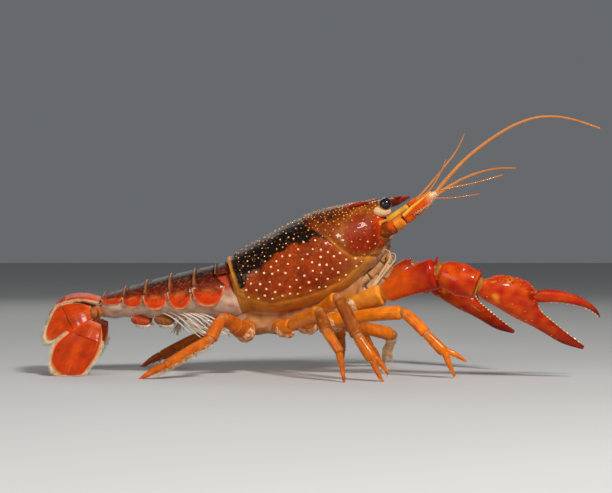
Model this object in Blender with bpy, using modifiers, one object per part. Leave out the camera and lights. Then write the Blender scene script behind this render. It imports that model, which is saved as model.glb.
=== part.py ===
"""A life-size red swamp crayfish standing on its walking legs, facing +X, with its right side towards -Y.

Lengths are in millimetres until the last step, which turns them into metres. The floor is at z = 0.
"""

import math

import bmesh
import bpy
import numpy as np
from mathutils import Matrix, Vector

MM = 0.001
GAP = 0.3
HALF_GAP = GAP / 2
RIGHT, LEFT = -1, 1
UP = Vector((0, 0, 1))

# The model's middle, which the last step moves over the origin.
CENTRE_X = 2.7
CENTRE_Y = 0.1

# The carapace lies along a line that climbs towards the head from the top of its rear edge.
CARAPACE_REAR = Vector((-19.5, 0.0, 28.6))
CARAPACE_PITCH = math.radians(18.0)
# Along the carapace: distance from the rear edge, top, bottom, half width.
CARAPACE_STATIONS = (
    (0.0, 0.0, -11.0, 8.6),
    (2.0, 0.6, -14.0, 9.7),
    (7.0, 1.8, -16.8, 10.9),
    (13.0, 2.9, -17.7, 11.4),
    (19.6, 4.0, -17.8, 11.2),
    (25.0, 4.4, -17.0, 10.5),
    (31.0, 3.9, -14.6, 9.2),
    (36.0, 3.2, -11.6, 7.6),
    (39.4, 2.7, -8.4, 5.6),
    (40.6, 2.2, -6.6, 4.0),
)
CERVICAL_TOP = 20.3
CERVICAL_SLANT = 0.70
# Along the rostrum: distance, height of its upper face, half width, half depth.
ROSTRUM_STATIONS = (
    (33.0, 2.3, 3.9, 1.1),
    (37.0, 2.3, 3.6, 1.1),
    (41.0, 2.0, 2.7, 0.9),
    (44.4, 1.4, 1.9, 0.7),
    (45.6, 1.1, 1.2, 0.5),
    (48.0, 0.7, 0.15, 0.15),
)
# The spines of the head's left side: root and tip in the carapace's own axes, and radius.
HEAD_SPINES = (
    ("marginal_spine", (43.4, 1.3, 1.2), (46.0, 2.0, 1.2), 0.45),
    ("postorbital_ridge", (30.5, 4.3, 3.0), (37.8, 4.6, 2.9), 0.9),
    ("suborbital_spine", (37.0, 5.6, -3.4), (41.0, 6.2, -3.2), 0.9),
)
# Along X: the height of the sternum's middle, its half depth and half width.
STERNUM_STATIONS = (
    (-18.0, 14.0, 2.4, 3.4),
    (-14.0, 13.2, 3.4, 5.0),
    (-6.0, 13.4, 3.6, 5.0),
    (2.0, 15.2, 3.6, 5.0),
    (9.0, 18.6, 3.8, 5.0),
    (14.0, 22.0, 3.2, 4.4),
)
STERNUM_HALF_WIDTH = 5.0
# Under the front of the carapace: distance along it, top, bottom, half width.
MOUTH_STATIONS = (
    (30.0, -8.0, -14.0, 5.0),
    (34.0, -6.0, -13.4, 4.8),
    (37.5, -5.0, -11.2, 4.0),
    (40.4, -4.6, -8.2, 2.6),
)

EYE_PLACE = Vector((19.6, 6.2, 42.0))
EYE_RADIUS = 1.55

# Ends of the tergites along X with the height of the back there, from the carapace to the telson.
TERGITE_EDGES = (
    (-19.9, 27.9),
    (-22.4, 27.0),
    (-27.8, 25.8),
    (-33.8, 24.5),
    (-39.8, 22.9),
    (-45.0, 21.4),
    (-50.2, 19.8),
)
TERGITE_HALF_WIDTHS = (8.0, 8.8, 9.2, 9.0, 8.7, 8.1, 7.0)
PLEURON_BOTTOMS = (21.0, 16.8, 16.1, 16.0, 16.5, 17.2)
PLEURON_REACH = math.radians(113.0)
# The second pleuron reaches forward over the first somite's side by this much.
PLEURON_OVERLAP = 2.5
# The share of the arch where the side lobes begin to narrow, and that the first tergite covers.
LOBE_START = 0.62
FIRST_TERGITE_REACH = 0.55
TERGITE_RIM = 0.22
BELLY_BOTTOM = 13.5
SHELL = 0.9


def smooth_table(rows, count):
    """Rows resampled at even steps of the curve through them, by Catmull-Rom."""
    table = np.array(rows, float)
    last = len(table) - 1
    found = []
    for step in range(count):
        place = last * step / (count - 1)
        i = min(int(place), last - 1)
        t = place - i
        before, after = table[max(i - 1, 0)], table[min(i + 2, last)]
        a, b = table[i], table[i + 1]
        found.append(
            0.5
            * (
                2 * a
                + (b - before) * t
                + (2 * before - 5 * a + 4 * b - after) * t**2
                + (3 * a - before - 3 * b + after) * t**3
            )
        )
    return found


def oval(count, half_width, up, down, roundness=2.0, flat_below=2.0):
    """Points (across, up) of an egg-shaped ring, from the top round by +across."""
    points = []
    for i in range(count):
        angle = 2 * math.pi * i / count
        s, c = math.sin(angle), math.cos(angle)
        power = 2 / (roundness if c >= 0 else flat_below)
        reach = up if c >= 0 else down
        across = half_width * math.copysign(abs(s) ** power, s)
        points.append((across, reach * math.copysign(abs(c) ** power, c)))
    return points


def mesh_object(name, mesh):
    obj = bpy.data.objects.new(name, mesh)
    bpy.context.scene.collection.objects.link(obj)
    return obj


def loft(name, rings):
    """A closed body through rings of points, for shapes whose sections are unlike each other."""
    bm = bmesh.new()
    rows = [[bm.verts.new(p) for p in ring] for ring in rings]
    for near, far in zip(rows, rows[1:]):
        for i, corner in enumerate(near):
            j = (i + 1) % len(near)
            bm.faces.new((corner, near[j], far[j], far[i]))
    bm.faces.new(rows[0][::-1])
    bm.faces.new(rows[-1])
    bmesh.ops.triangulate(bm, faces=[f for f in bm.faces if len(f.verts) > 4])
    bmesh.ops.recalc_face_normals(bm, faces=bm.faces)
    mesh = bpy.data.meshes.new(name)
    bm.to_mesh(mesh)
    bm.free()
    return mesh_object(name, mesh)


def cone(name, root, tip, radius, sides=6, tip_radius=0.06):
    """A spine or tooth from its sunk root to its tip."""
    bm = bmesh.new()
    along = Vector(tip) - Vector(root)
    turn = along.to_track_quat("Z", "Y").to_matrix().to_4x4()
    place = Matrix.Translation((Vector(root) + Vector(tip)) / 2) @ turn
    bmesh.ops.create_cone(
        bm,
        cap_ends=True,
        segments=sides,
        radius1=radius,
        radius2=tip_radius,
        depth=along.length,
        matrix=place,
    )
    mesh = bpy.data.meshes.new(name)
    bm.to_mesh(mesh)
    bm.free()
    return mesh_object(name, mesh)


def ball(name, centre, radii, rings=6, segments=8):
    bm = bmesh.new()
    place = Matrix.Translation(centre) @ Matrix.Diagonal((*radii, 1.0))
    bmesh.ops.create_uvsphere(
        bm, u_segments=segments, v_segments=rings, radius=1.0, matrix=place
    )
    mesh = bpy.data.meshes.new(name)
    bm.to_mesh(mesh)
    bm.free()
    return mesh_object(name, mesh)


def wire(name, points, radii, resolution=1):
    """A tube whose thickness changes along it, as a curve made into a mesh."""
    curve = bpy.data.curves.new(name, "CURVE")
    curve.dimensions = "3D"
    curve.bevel_depth = 1.0
    curve.bevel_resolution = resolution
    curve.use_fill_caps = True
    line = curve.splines.new("POLY")
    line.points.add(len(points) - 1)
    for point, place, radius in zip(line.points, points, radii):
        point.co = (*place, 1.0)
        point.radius = radius
    guide = mesh_object(name + "_line", curve)
    bpy.context.view_layer.update()
    graph = bpy.context.evaluated_depsgraph_get()
    mesh = bpy.data.meshes.new_from_object(guide.evaluated_get(graph))
    bpy.data.objects.remove(guide)
    bm = bmesh.new()
    bm.from_mesh(mesh)
    bmesh.ops.remove_doubles(bm, verts=bm.verts, dist=0.001)
    bmesh.ops.recalc_face_normals(bm, faces=bm.faces)
    bm.to_mesh(mesh)
    bm.free()
    mesh.materials.clear()
    return mesh_object(name, mesh)


def keep_side(obj, point, outward):
    """Cuts off what lies past a plane and closes the cut."""
    bm = bmesh.new()
    bm.from_mesh(obj.data)
    geometry = bm.verts[:] + bm.edges[:] + bm.faces[:]
    cut = bmesh.ops.bisect_plane(
        bm,
        geom=geometry,
        plane_co=point,
        plane_no=outward,
        clear_outer=True,
        dist=0.0005,
    )
    edges = [e for e in cut["geom_cut"] if isinstance(e, bmesh.types.BMEdge)]
    bmesh.ops.contextual_create(bm, geom=edges)
    bmesh.ops.triangulate(bm, faces=[f for f in bm.faces if len(f.verts) > 4])
    bmesh.ops.recalc_face_normals(bm, faces=bm.faces)
    bm.to_mesh(obj.data)
    bm.free()
    return obj


def largest_body(mesh):
    """Leaves only the closed surface with the most faces."""
    bm = bmesh.new()
    bm.from_mesh(mesh)
    left, bodies = set(bm.faces), []
    while left:
        front, body = [left.pop()], []
        while front:
            face = front.pop()
            body.append(face)
            for edge in face.edges:
                for other in edge.link_faces:
                    if other in left:
                        left.discard(other)
                        front.append(other)
        bodies.append(body)
    bodies.sort(key=len)
    for body in bodies[:-1]:
        bmesh.ops.delete(bm, geom=body, context="FACES")
    bm.to_mesh(mesh)
    bm.free()


def join(name, body, extras):
    """One body from overlapping closed meshes, by a Boolean union on their collection."""
    body.name = name
    if not extras:
        return body
    pieces = bpy.data.collections.new(name + "_pieces")
    bpy.context.scene.collection.children.link(pieces)
    for extra in extras:
        bpy.context.scene.collection.objects.unlink(extra)
        pieces.objects.link(extra)
    union = body.modifiers.new("join", "BOOLEAN")
    union.operation = "UNION"
    union.operand_type = "COLLECTION"
    union.solver = "MANIFOLD"
    union.collection = pieces
    bpy.context.view_layer.update()
    graph = bpy.context.evaluated_depsgraph_get()
    mesh = bpy.data.meshes.new_from_object(body.evaluated_get(graph))
    body.modifiers.clear()
    body.data = mesh
    for extra in list(pieces.objects):
        bpy.data.objects.remove(extra)
    bpy.data.collections.remove(pieces)
    largest_body(mesh)
    return body


def cut_clear(target, neighbour, gap=GAP):
    """Cuts from a body what lies within a gap of its neighbour, by a Boolean with a grown copy of it."""
    cutters = bpy.data.collections.new("cutters")
    cutters.hide_render = True
    bpy.context.scene.collection.children.link(cutters)
    bm = bmesh.new()
    bm.from_mesh(neighbour.data)
    bm.normal_update()
    moves = [v.normal * (gap * min(v.calc_shell_factor(), 1.8)) for v in bm.verts]
    for vertex, move in zip(bm.verts, moves):
        vertex.co += move
    mesh = bpy.data.meshes.new("grown")
    bm.to_mesh(mesh)
    bm.free()
    cutter = bpy.data.objects.new("grown", mesh)
    cutter.hide_render = True
    cutter.display_type = "WIRE"
    cutters.objects.link(cutter)
    cut = target.modifiers.new("clear", "BOOLEAN")
    cut.operation = "DIFFERENCE"
    cut.solver = "MANIFOLD"
    cut.object = cutter
    bpy.context.view_layer.update()
    graph = bpy.context.evaluated_depsgraph_get()
    mesh = bpy.data.meshes.new_from_object(target.evaluated_get(graph))
    target.modifiers.clear()
    target.data = mesh
    bpy.data.objects.remove(cutter)
    bpy.data.collections.remove(cutters)
    largest_body(mesh)
    return target


def in_carapace(along, across, up):
    """A point given in the carapace's own axes, in the model's axes."""
    c, s = math.cos(CARAPACE_PITCH), math.sin(CARAPACE_PITCH)
    return CARAPACE_REAR + Vector((along * c - up * s, across, along * s + up * c))


def carapace_whole(name, steps, sides):
    rings = []
    for along, top, bottom, half_width in smooth_table(CARAPACE_STATIONS, steps):
        middle = bottom + 0.46 * (top - bottom)
        ring = oval(sides, half_width, top - middle, middle - bottom, 2.1, 2.5)
        rings.append([in_carapace(along, y, middle + w) for y, w in ring])
    return loft(name, rings)


def cervical_plane(shift):
    """A point and the forward normal of the slanting plane of the cervical groove."""
    point = in_carapace(CERVICAL_TOP + shift, 0.0, 4.2)
    low = in_carapace(CERVICAL_TOP + shift + CERVICAL_SLANT * 10, 0.0, 4.2 - 10)
    forward = Vector((0, 1, 0)).cross(low - point).normalized()
    return point, forward if forward.x > 0 else -forward


def build_head():
    head = carapace_whole("head", 24, 28)
    point, forward = cervical_plane(HALF_GAP)
    keep_side(head, point, -forward)
    extras = [rostrum(12)]
    for side in (RIGHT, LEFT):
        for name, root, tip, radius in HEAD_SPINES:
            ends = [in_carapace(along, side * across, up) for along, across, up in (root, tip)]
            extras.append(cone(name, *ends, radius))
        extras.append(antenna_socket(side))
    extras.append(keep_side(mouth_block(), point, -forward))
    return join("head", head, extras)


def rostrum(steps):
    rings = []
    for along, top, half_width, depth in smooth_table(ROSTRUM_STATIONS, steps):
        section = (
            (0.0, -0.45 * depth),
            (0.62 * half_width, -0.25 * depth),
            (half_width, 0.25 * depth),
            (half_width, -0.7 * depth),
            (0.55 * half_width, -1.7 * depth),
            (0.0, -2.0 * depth),
            (-0.55 * half_width, -1.7 * depth),
            (-half_width, -0.7 * depth),
            (-half_width, 0.25 * depth),
            (-0.62 * half_width, -0.25 * depth),
        )
        rings.append([in_carapace(along, y, top + w) for y, w in section])
    return loft("rostrum", rings)


def antenna_socket(side):
    """The swelling below the eye that carries the antenna."""
    return ball(
        "antenna_socket", in_carapace(37.6, side * 4.2, -6.0), (3.0, 2.2, 2.2)
    )


def mouth_block():
    rings = []
    for along, top, bottom, half in MOUTH_STATIONS:
        middle = (top + bottom) / 2
        ring = oval(12, half, top - middle, middle - bottom, 2.4, 2.4)
        rings.append([in_carapace(along, y, middle + w) for y, w in ring])
    return loft("mouth", rings)


def build_thorax():
    thorax = carapace_whole("thorax", 24, 28)
    point, forward = cervical_plane(-HALF_GAP)
    keep_side(thorax, point, forward)
    rings = []
    for x, z, depth, half in smooth_table(STERNUM_STATIONS, 12):
        ring = oval(16, half, depth, depth, 4.0, 4.0)
        rings.append([(x, y, z + w) for y, w in ring])
    return join("thorax", thorax, [loft("sternum", rings)])


def limb(name, joints, radii, sides=8, flatten=1.0, narrow=0.72, start_normal=None):
    """A chain of segments through joints. Each swells towards its far end and nips in at the joint.

    radii has one value for each joint. The rings at a joint lie on the plane that halves its bend.
    """
    points = [Vector(p) for p in joints]
    rings = []
    side_hint = Vector((0, 1, 0))
    for i, point in enumerate(points):
        before = points[i] - points[i - 1] if i else points[1] - points[0]
        after = (
            points[i + 1] - points[i]
            if i + 1 < len(points)
            else points[i] - points[i - 1]
        )
        along = (before.normalized() + after.normalized()).normalized()
        if i == 0 and start_normal is not None:
            along = Vector(start_normal).normalized()
        across = side_hint.cross(along)
        if across.length < 0.2:
            across = Vector((0, 0, 1)).cross(along)
        across.normalize()
        other = along.cross(across).normalized()
        rings.append((point, across, other, radii[i]))
    circle = [
        (math.cos(2 * math.pi * k / sides), math.sin(2 * math.pi * k / sides))
        for k in range(sides)
    ]
    placed = []
    for i, (point, across, other, radius) in enumerate(rings):
        scale = narrow if 0 < i < len(rings) - 1 else 1.0
        placed.append(
            [
                point + scale * radius * (across * c + other * s * flatten)
                for c, s in circle
            ]
        )
        if i + 1 < len(rings):
            following, across_2, other_2, radius_2 = rings[i + 1]
            for share in (0.16, 0.82):
                spot = point.lerp(following, share)
                size = radius + (radius_2 - radius) * share
                a = across.lerp(across_2, share).normalized()
                o = other.lerp(other_2, share).normalized()
                placed.append(
                    [spot + size * (a * c + o * s * flatten) for c, s in circle]
                )
    return loft(name, placed)


def shorten(start, end, length):
    """The start point moved towards the end by a length."""
    start, end = Vector(start), Vector(end)
    return start + (end - start).normalized() * length


def foot(obj):
    """Cuts what is under the floor, which leaves a small flat where the limb stands."""
    return keep_side(obj, (0, 0, 0), (0, 0, -1))


# For each walking leg: its root on the sternum, the end of the coxa, the knee, the wrist, the base of the
# finger and the tip. The second and third pairs end in small pincers, the others in a single claw.
LEGS = {
    "right_2": (
        (5.2, 13.4),
        (6.6, -9.4, 13.5),
        (23.6, -16.0, 15.6),
        (28.9, -19.0, 10.5),
        (33.5, -20.2, 5.9),
        (35.5, -21.0, 0.5),
    ),
    "right_3": (
        (-0.9, 12.6),
        (-0.3, -9.6, 12.4),
        (7.6, -24.0, 19.3),
        (12.2, -29.0, 10.3),
        (15.8, -30.4, 4.8),
        (18.0, -31.0, -0.2),
    ),
    "right_4": (
        (-7.0, 12.0),
        (-5.6, -9.6, 11.4),
        (3.2, -25.4, 16.0),
        (4.8, -28.8, 11.6),
        (7.9, -31.4, 6.8),
        (8.9, -32.8, -0.2),
    ),
    "right_5": (
        (-14.0, 12.0),
        (-14.9, -9.8, 10.7),
        (-20.3, -16.8, 14.1),
        (-22.9, -20.2, 9.2),
        (-33.6, -22.0, 2.9),
        (-39.6, -22.4, -0.2),
    ),
    "left_2": (
        (5.2, 13.4),
        (7.6, 9.4, 12.0),
        (22.4, 16.4, 8.6),
        (22.2, 20.6, 6.4),
        (21.2, 25.4, 3.6),
        (20.6, 29.4, -0.2),
    ),
    "left_3": (
        (-0.9, 12.6),
        (0.6, 9.6, 12.2),
        (13.4, 22.6, 13.6),
        (15.4, 28.4, 7.8),
        (17.2, 31.4, 3.8),
        (18.6, 33.0, -0.2),
    ),
    "left_4": (
        (-7.0, 12.0),
        (-5.6, 9.6, 11.4),
        (7.9, 23.0, 12.8),
        (9.2, 28.0, 7.4),
        (9.6, 30.6, 3.6),
        (9.8, 32.0, -0.2),
    ),
    "left_5": (
        (-14.0, 12.0),
        (-14.9, 9.8, 10.7),
        (-22.4, 16.0, 13.4),
        (-27.0, 19.6, 8.4),
        (-38.0, 22.0, 2.8),
        (-43.3, 22.6, -0.2),
    ),
}
LEG_RADII = {
    "2": (1.9, 1.9, 1.7, 1.35, 1.35, 0.45),
    "3": (1.9, 1.9, 1.75, 1.6, 1.4, 0.45),
    "4": (1.9, 1.8, 1.6, 1.5, 1.05, 0.4),
    "5": (2.0, 2.3, 1.6, 1.6, 1.3, 0.4),
}
# A leg's thickness from front to back is this share of its depth.
LEG_FLATTEN = 0.86
ISCHIUM_LENGTH = 4.2
KNEE_CLEARANCE = 0.7
# How far the pincers of the legs gape, and which way their movable finger opens.
PINCER_GAPE = {"right_2": 0.85}
PINCER_WAY = Vector((0.92, 0.0, 0.38))
PINCER_REST = 0.3


def build_leg(key):
    side = RIGHT if key.startswith("right") else LEFT
    number = key[-1]
    (root_x, root_z), coxa, knee, wrist, finger, tip = LEGS[key]
    radii = LEG_RADII[number]
    root = Vector((root_x, side * (STERNUM_HALF_WIDTH + GAP), root_z))
    upper_end = shorten(knee, coxa, HALF_GAP)
    upper = limb(
        f"leg_{key}_upper",
        (root, coxa, shorten(coxa, knee, ISCHIUM_LENGTH), upper_end),
        (radii[0], radii[1], radii[1], radii[2]),
        start_normal=(0, side, 0),
        flatten=LEG_FLATTEN,
    )
    start = shorten(knee, wrist, KNEE_CLEARANCE)
    lower = limb(
        f"leg_{key}_lower",
        (start, wrist, finger, tip),
        radii[2:],
        flatten=LEG_FLATTEN,
    )
    if number in "23":
        thumb = leg_pincer(finger, wrist, tip, PINCER_GAPE.get(key, PINCER_REST))
        join(lower.name, lower, [thumb])
    foot(cut_clear(lower, upper))


def leg_pincer(finger, wrist, tip, gape):
    """The movable finger of a small pincer, held a little open beside the fixed one."""
    finger, wrist, tip = Vector(finger), Vector(wrist), Vector(tip)
    down = (tip - finger).normalized()
    aim = (down + PINCER_WAY * gape).normalized()
    root = finger.lerp(wrist, 0.12) + PINCER_WAY * 0.5
    reach = (tip - finger).length
    return limb(
        "thumb",
        (root, root + aim * reach * 0.45, root + aim * reach * 0.95),
        (0.85, 0.75, 0.25),
        sides=6,
        narrow=1.0,
    )


# The arms that carry the big claws: the root on the sternum, the ends of the coxa and the ischium, the
# elbow, the wrist, and the way that the claw points.
ARMS = {
    "right": (
        (10.6, 18.2),
        (12.6, -9.0, 17.4),
        (17.8, -12.2, 19.6),
        (32.0, -20.0, 25.4),
        (40.6, -23.0, 22.2),
        (25.9, 3.0, -14.5),
    ),
    "left": (
        (10.6, 18.2),
        (13.4, 8.8, 17.9),
        (19.2, 11.2, 21.0),
        (27.6, 14.0, 25.2),
        (32.4, 20.4, 22.0),
        (19.0, -18.4, -11.0),
    ),
}
ARM_RADII = (2.2, 2.3, 2.8, 3.8)
# Distances back from the elbow: of the spines above, with their height, and of the teeth below.
ARM_SPINES = ((1.4, 3.0), (4.4, 2.8))
ARM_TEETH = (2.2, 4.6, 7.0, 9.4)
# The height of the wrist segment's crest, which ends in a spine.
WRIST_CREST = 3.2
# Along the claw from the wrist: distance, lower edge, upper edge, half thickness.
PALM_STATIONS = (
    (0.9, -1.7, 2.4, 2.0),
    (3.0, -2.2, 4.1, 2.7),
    (6.2, -2.2, 5.7, 3.2),
    (10.6, -2.3, 6.4, 3.1),
    (13.4, -2.2, 4.9, 2.6),
    (16.0, -2.0, 2.4, 1.9),
    (20.0, -2.0, 1.4, 1.35),
    (25.0, -2.0, 0.6, 0.95),
    (29.8, -0.9, 0.0, 0.4),
)
# The movable finger stands this far ahead, clear of the palm.
FINGER_SHIFT = 0.35
# Along the movable finger: distance, height, half width, half thickness.
FINGER_STATIONS = (
    (12.9, 4.6, 1.5, 1.7),
    (15.2, 5.7, 1.75, 1.5),
    (18.2, 7.2, 1.5, 1.2),
    (21.6, 8.3, 1.2, 1.0),
    (25.4, 8.9, 0.8, 0.75),
    (27.9, 8.6, 0.5, 0.5),
    (29.4, 7.9, 0.2, 0.2),
)


def claw_axes(key):
    """The claw's own axes: along it, across it towards the movable finger, and through its thickness."""
    along = Vector(ARMS[key][5]).normalized()
    through = Vector((0, 1, 0)) if key == "right" else Vector((0.62, 0.78, 0.0))
    through = (through - along * through.dot(along)).normalized()
    across = along.cross(through)
    if across.z < 0:
        across = -across
    return along, across, through


def claw_point(key, a, b, c):
    along, across, through = claw_axes(key)
    return Vector(ARMS[key][4]) + along * a + across * b + through * c


def build_arm(key):
    side = RIGHT if key == "right" else LEFT
    (root_x, root_z), coxa, ischium, elbow, wrist, _ = ARMS[key]
    root = Vector((root_x, side * (STERNUM_HALF_WIDTH + GAP), root_z))
    arm = limb(
        f"cheliped_{key}_arm",
        (root, coxa, ischium, shorten(elbow, ischium, HALF_GAP)),
        ARM_RADII,
        sides=10,
        flatten=0.66,
        narrow=0.86,
        start_normal=(0, side, 0),
    )
    elbow, ischium = Vector(elbow), Vector(ischium)
    run = (elbow - ischium).normalized()
    extras = []
    for back, up in ARM_SPINES:
        base = elbow - run * back
        root, tip = base + UP * (up - 0.6), base + run * 0.9 + UP * (up + 1.3)
        extras.append(cone("arm_spine", root, tip, 0.5))
    for back in ARM_TEETH:
        base = elbow - run * back
        low = 2.75 - 0.07 * back
        root, tip = base + UP * (0.5 - low), base + run * 0.5 - UP * (low + 0.7)
        extras.append(cone("arm_tooth", root, tip, 0.4, 5))
    join(arm.name, arm, extras)

    carpus = limb(
        f"cheliped_{key}_wrist",
        (
            shorten(elbow, wrist, HALF_GAP + 0.2),
            elbow.lerp(Vector(wrist), 0.55),
            claw_point(key, 0.9 - GAP, 0.1, 0.0),
        ),
        (2.6, 3.9, 2.6),
        sides=12,
        flatten=0.8,
        narrow=1.0,
    )
    crest = elbow.lerp(Vector(wrist), 0.75) + UP * WRIST_CREST
    spines = [
        cone("wrist_spine", crest - Vector((1.0, 0, 0.9)), crest + Vector((3.6, 0, -0.5)), 0.85),
        cone("wrist_knob", crest + Vector((-3.4, 0, -0.4)), crest + Vector((-2.8, 0, 1.1)), 0.45),
    ]
    cut_clear(join(carpus.name, carpus, spines), arm)
    return carpus


def claw_section(key, a, low, high, thick, sides):
    middle, half = (low + high) / 2, (high - low) / 2
    ring = oval(sides, thick, half, half, 2.2, 2.2)
    return [claw_point(key, a, middle + b, c) for c, b in ring]


def build_claw(key, wrist):
    rings = [
        claw_section(key, a, low, high, thick, 14)
        for a, low, high, thick in smooth_table(PALM_STATIONS, 17)
    ]
    palm = loft(f"cheliped_{key}_claw", rings)
    extras = []
    crest = [row for row in smooth_table(PALM_STATIONS, 40) if 2.5 < row[0] < 12.5]
    for i, (a, _, high, thick) in enumerate(crest[::2]):
        c = (-0.35, 0.3)[i % 2]
        lift = high - 0.35 - 0.8 * abs(c)
        root = claw_point(key, a, lift - 0.5, c * thick)
        tip = claw_point(key, a + 0.25, lift + 0.75, c * thick)
        extras.append(cone("crest_knob", root, tip, 0.5, 5, 0.18))
    biting = [row for row in smooth_table(PALM_STATIONS, 60) if 16.5 < row[0] < 27.5]
    for a, _, high, _ in biting[::3]:
        root, tip = claw_point(key, a, high - 0.5, 0), claw_point(key, a, high + 0.45, 0)
        extras.append(cone("tooth", root, tip, 0.38, 5, 0.16))
    join(palm.name, palm, extras)
    cut_clear(wrist, palm)

    rings = []
    for a, height, half, thick in smooth_table(FINGER_STATIONS, 11):
        low, high = height - half, height + half
        rings.append(claw_section(key, a + FINGER_SHIFT, low, high, thick, 10))
    finger = loft(f"cheliped_{key}_finger", rings)
    teeth = []
    for a, height, half, _ in smooth_table(FINGER_STATIONS, 24)[9:20:2]:
        root = claw_point(key, a + FINGER_SHIFT, height - half + 0.45, 0)
        tip = claw_point(key, a + FINGER_SHIFT, height - half - 0.4, 0)
        teeth.append(cone("tooth", root, tip, 0.34, 5, 0.14))
    cut_clear(join(finger.name, finger, teeth), palm)


def tergite_point(edge, t, lift=0.0):
    """A point of the arched back at an edge (x, top, half width, bottom), t from -1 at the right to 1."""
    x, top, half, bottom = edge
    angle = t * PLEURON_REACH
    height = (top - bottom) / (1 - math.cos(PLEURON_REACH))
    across = (half + lift) * math.sin(angle)
    return Vector((x, across, top - height + (height + lift) * math.cos(angle)))


def tergite_frame(number):
    """The front and rear edges of a tergite: x, height of the back, half width and pleuron bottom."""
    (x0, z0), (x1, z1) = TERGITE_EDGES[number - 1], TERGITE_EDGES[number]
    bottom = PLEURON_BOTTOMS[number - 1]
    front = (x0 - HALF_GAP, z0, TERGITE_HALF_WIDTHS[number - 1], bottom)
    rear = (x1 + HALF_GAP, z1, TERGITE_HALF_WIDTHS[number], bottom)
    return front, rear


def tergite_shell(number, rows, columns, thickness):
    """The plate of one tergite with its rounded side lobes, as an open sheet made solid."""
    front, rear = tergite_frame(number)
    bm = bmesh.new()
    grid = []
    widest = FIRST_TERGITE_REACH if number == 1 else 1.0
    for i in range(columns):
        t = widest * (-1 + 2 * i / (columns - 1))
        lobe = max(0.0, (abs(t) - LOBE_START) / (1 - LOBE_START))
        spread = math.sqrt(1 - (lobe * 0.96) ** 2)
        side = min(1.0, max(0.0, (abs(t) - 0.42) / 0.2))
        overlap = PLEURON_OVERLAP * side if number == 2 else 0.0
        row = []
        for j in range(rows):
            share = 0.5 + (j / (rows - 1) - 0.5) * spread
            edge = [a + (b - a) * share for a, b in zip(front, rear)]
            rim = TERGITE_RIM if j == rows - 1 and lobe == 0.0 else 0.0
            point = tergite_point(edge, t, rim)
            if number == 1:
                point.x += (1 - share) * (front[1] - point.z) * math.tan(CARAPACE_PITCH)
            point.x += (1 - share) * overlap
            row.append(bm.verts.new(point))
        grid.append(row)
    for a, b in zip(grid, grid[1:]):
        for j in range(rows - 1):
            bm.faces.new((a[j], a[j + 1], b[j + 1], b[j]))
    bmesh.ops.triangulate(bm, faces=bm.faces)
    mesh = bpy.data.meshes.new("shell")
    bm.to_mesh(mesh)
    bm.free()
    return solid_sheet(mesh_object("shell", mesh), thickness)


def solid_sheet(sheet, thickness, offset=-1.0):
    """An open sheet given a thickness by Solidify, with its faces turned outwards."""
    if sum(face.normal.z * face.area for face in sheet.data.polygons) < 0:
        sheet.data.flip_normals()
    solid = sheet.modifiers.new("thickness", "SOLIDIFY")
    solid.thickness = thickness
    solid.offset = offset
    bpy.context.view_layer.update()
    graph = bpy.context.evaluated_depsgraph_get()
    mesh = bpy.data.meshes.new_from_object(sheet.evaluated_get(graph))
    sheet.modifiers.clear()
    sheet.data = mesh
    bm = bmesh.new()
    bm.from_mesh(mesh)
    bmesh.ops.recalc_face_normals(bm, faces=bm.faces)
    bm.to_mesh(mesh)
    bm.free()
    return sheet


def belly_ring(edge, leans=False, sides=18):
    """The soft body inside the plates: it follows the arch above and bulges below the pleura."""
    x, top, half, _ = edge
    inner_top = top - 0.45
    middle = 18.0 + 0.25 * (top - 22.0)
    ring = oval(sides, half - 0.5, inner_top - middle, middle - BELLY_BOTTOM, 2.1, 2.2)
    slope = math.tan(CARAPACE_PITCH) if leans else 0.0
    return [(x + slope * (top - middle - w), y, middle + w) for y, w in ring]


# For each pair of swimmerets: the tergite that carries it, how far its blades swing forward on the right
# and on the left, and its length.
SWIMMERETS = {
    1: (2.6, 2.6, 3.5),
    2: (4.6, 1.6, 7.0),
    3: (5.4, -1.2, 7.0),
    4: (-1.2, -2.0, 4.0),
    5: (-1.6, -2.4, 3.5),
}


def swimmeret(number, side):
    """A short stalk and two soft blades, all sunk into the belly or each other."""
    right_swing, left_swing, length = SWIMMERETS[number]
    swing = right_swing if side == RIGHT else left_swing
    front, rear = tergite_frame(number)
    root = Vector(((front[0] + rear[0]) / 2, side * 3.6, BELLY_BOTTOM + 1.2))
    bend = root + Vector((swing * 0.25, side * 0.9, -2.1))
    pieces = [cone("stalk", root, bend, 0.9, tip_radius=0.7)]
    for spread in (-0.8, 0.9):
        start = bend + Vector((0, side * spread * 0.35, 0.5))
        end = bend + Vector((swing, side * spread * 1.1, -0.4 * length))
        pieces.append(cone("blade", start, end, 0.7, tip_radius=0.4))
    return pieces


def build_somite(number):
    front, rear = tergite_frame(number)
    core = loft(f"abdomen_{number}", [belly_ring(front, number == 1), belly_ring(rear)])
    extras = [tergite_shell(number, 4, 19, SHELL)]
    if number in SWIMMERETS:
        for side in (RIGHT, LEFT):
            extras += swimmeret(number, side)
    return join(core.name, core, extras)


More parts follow.
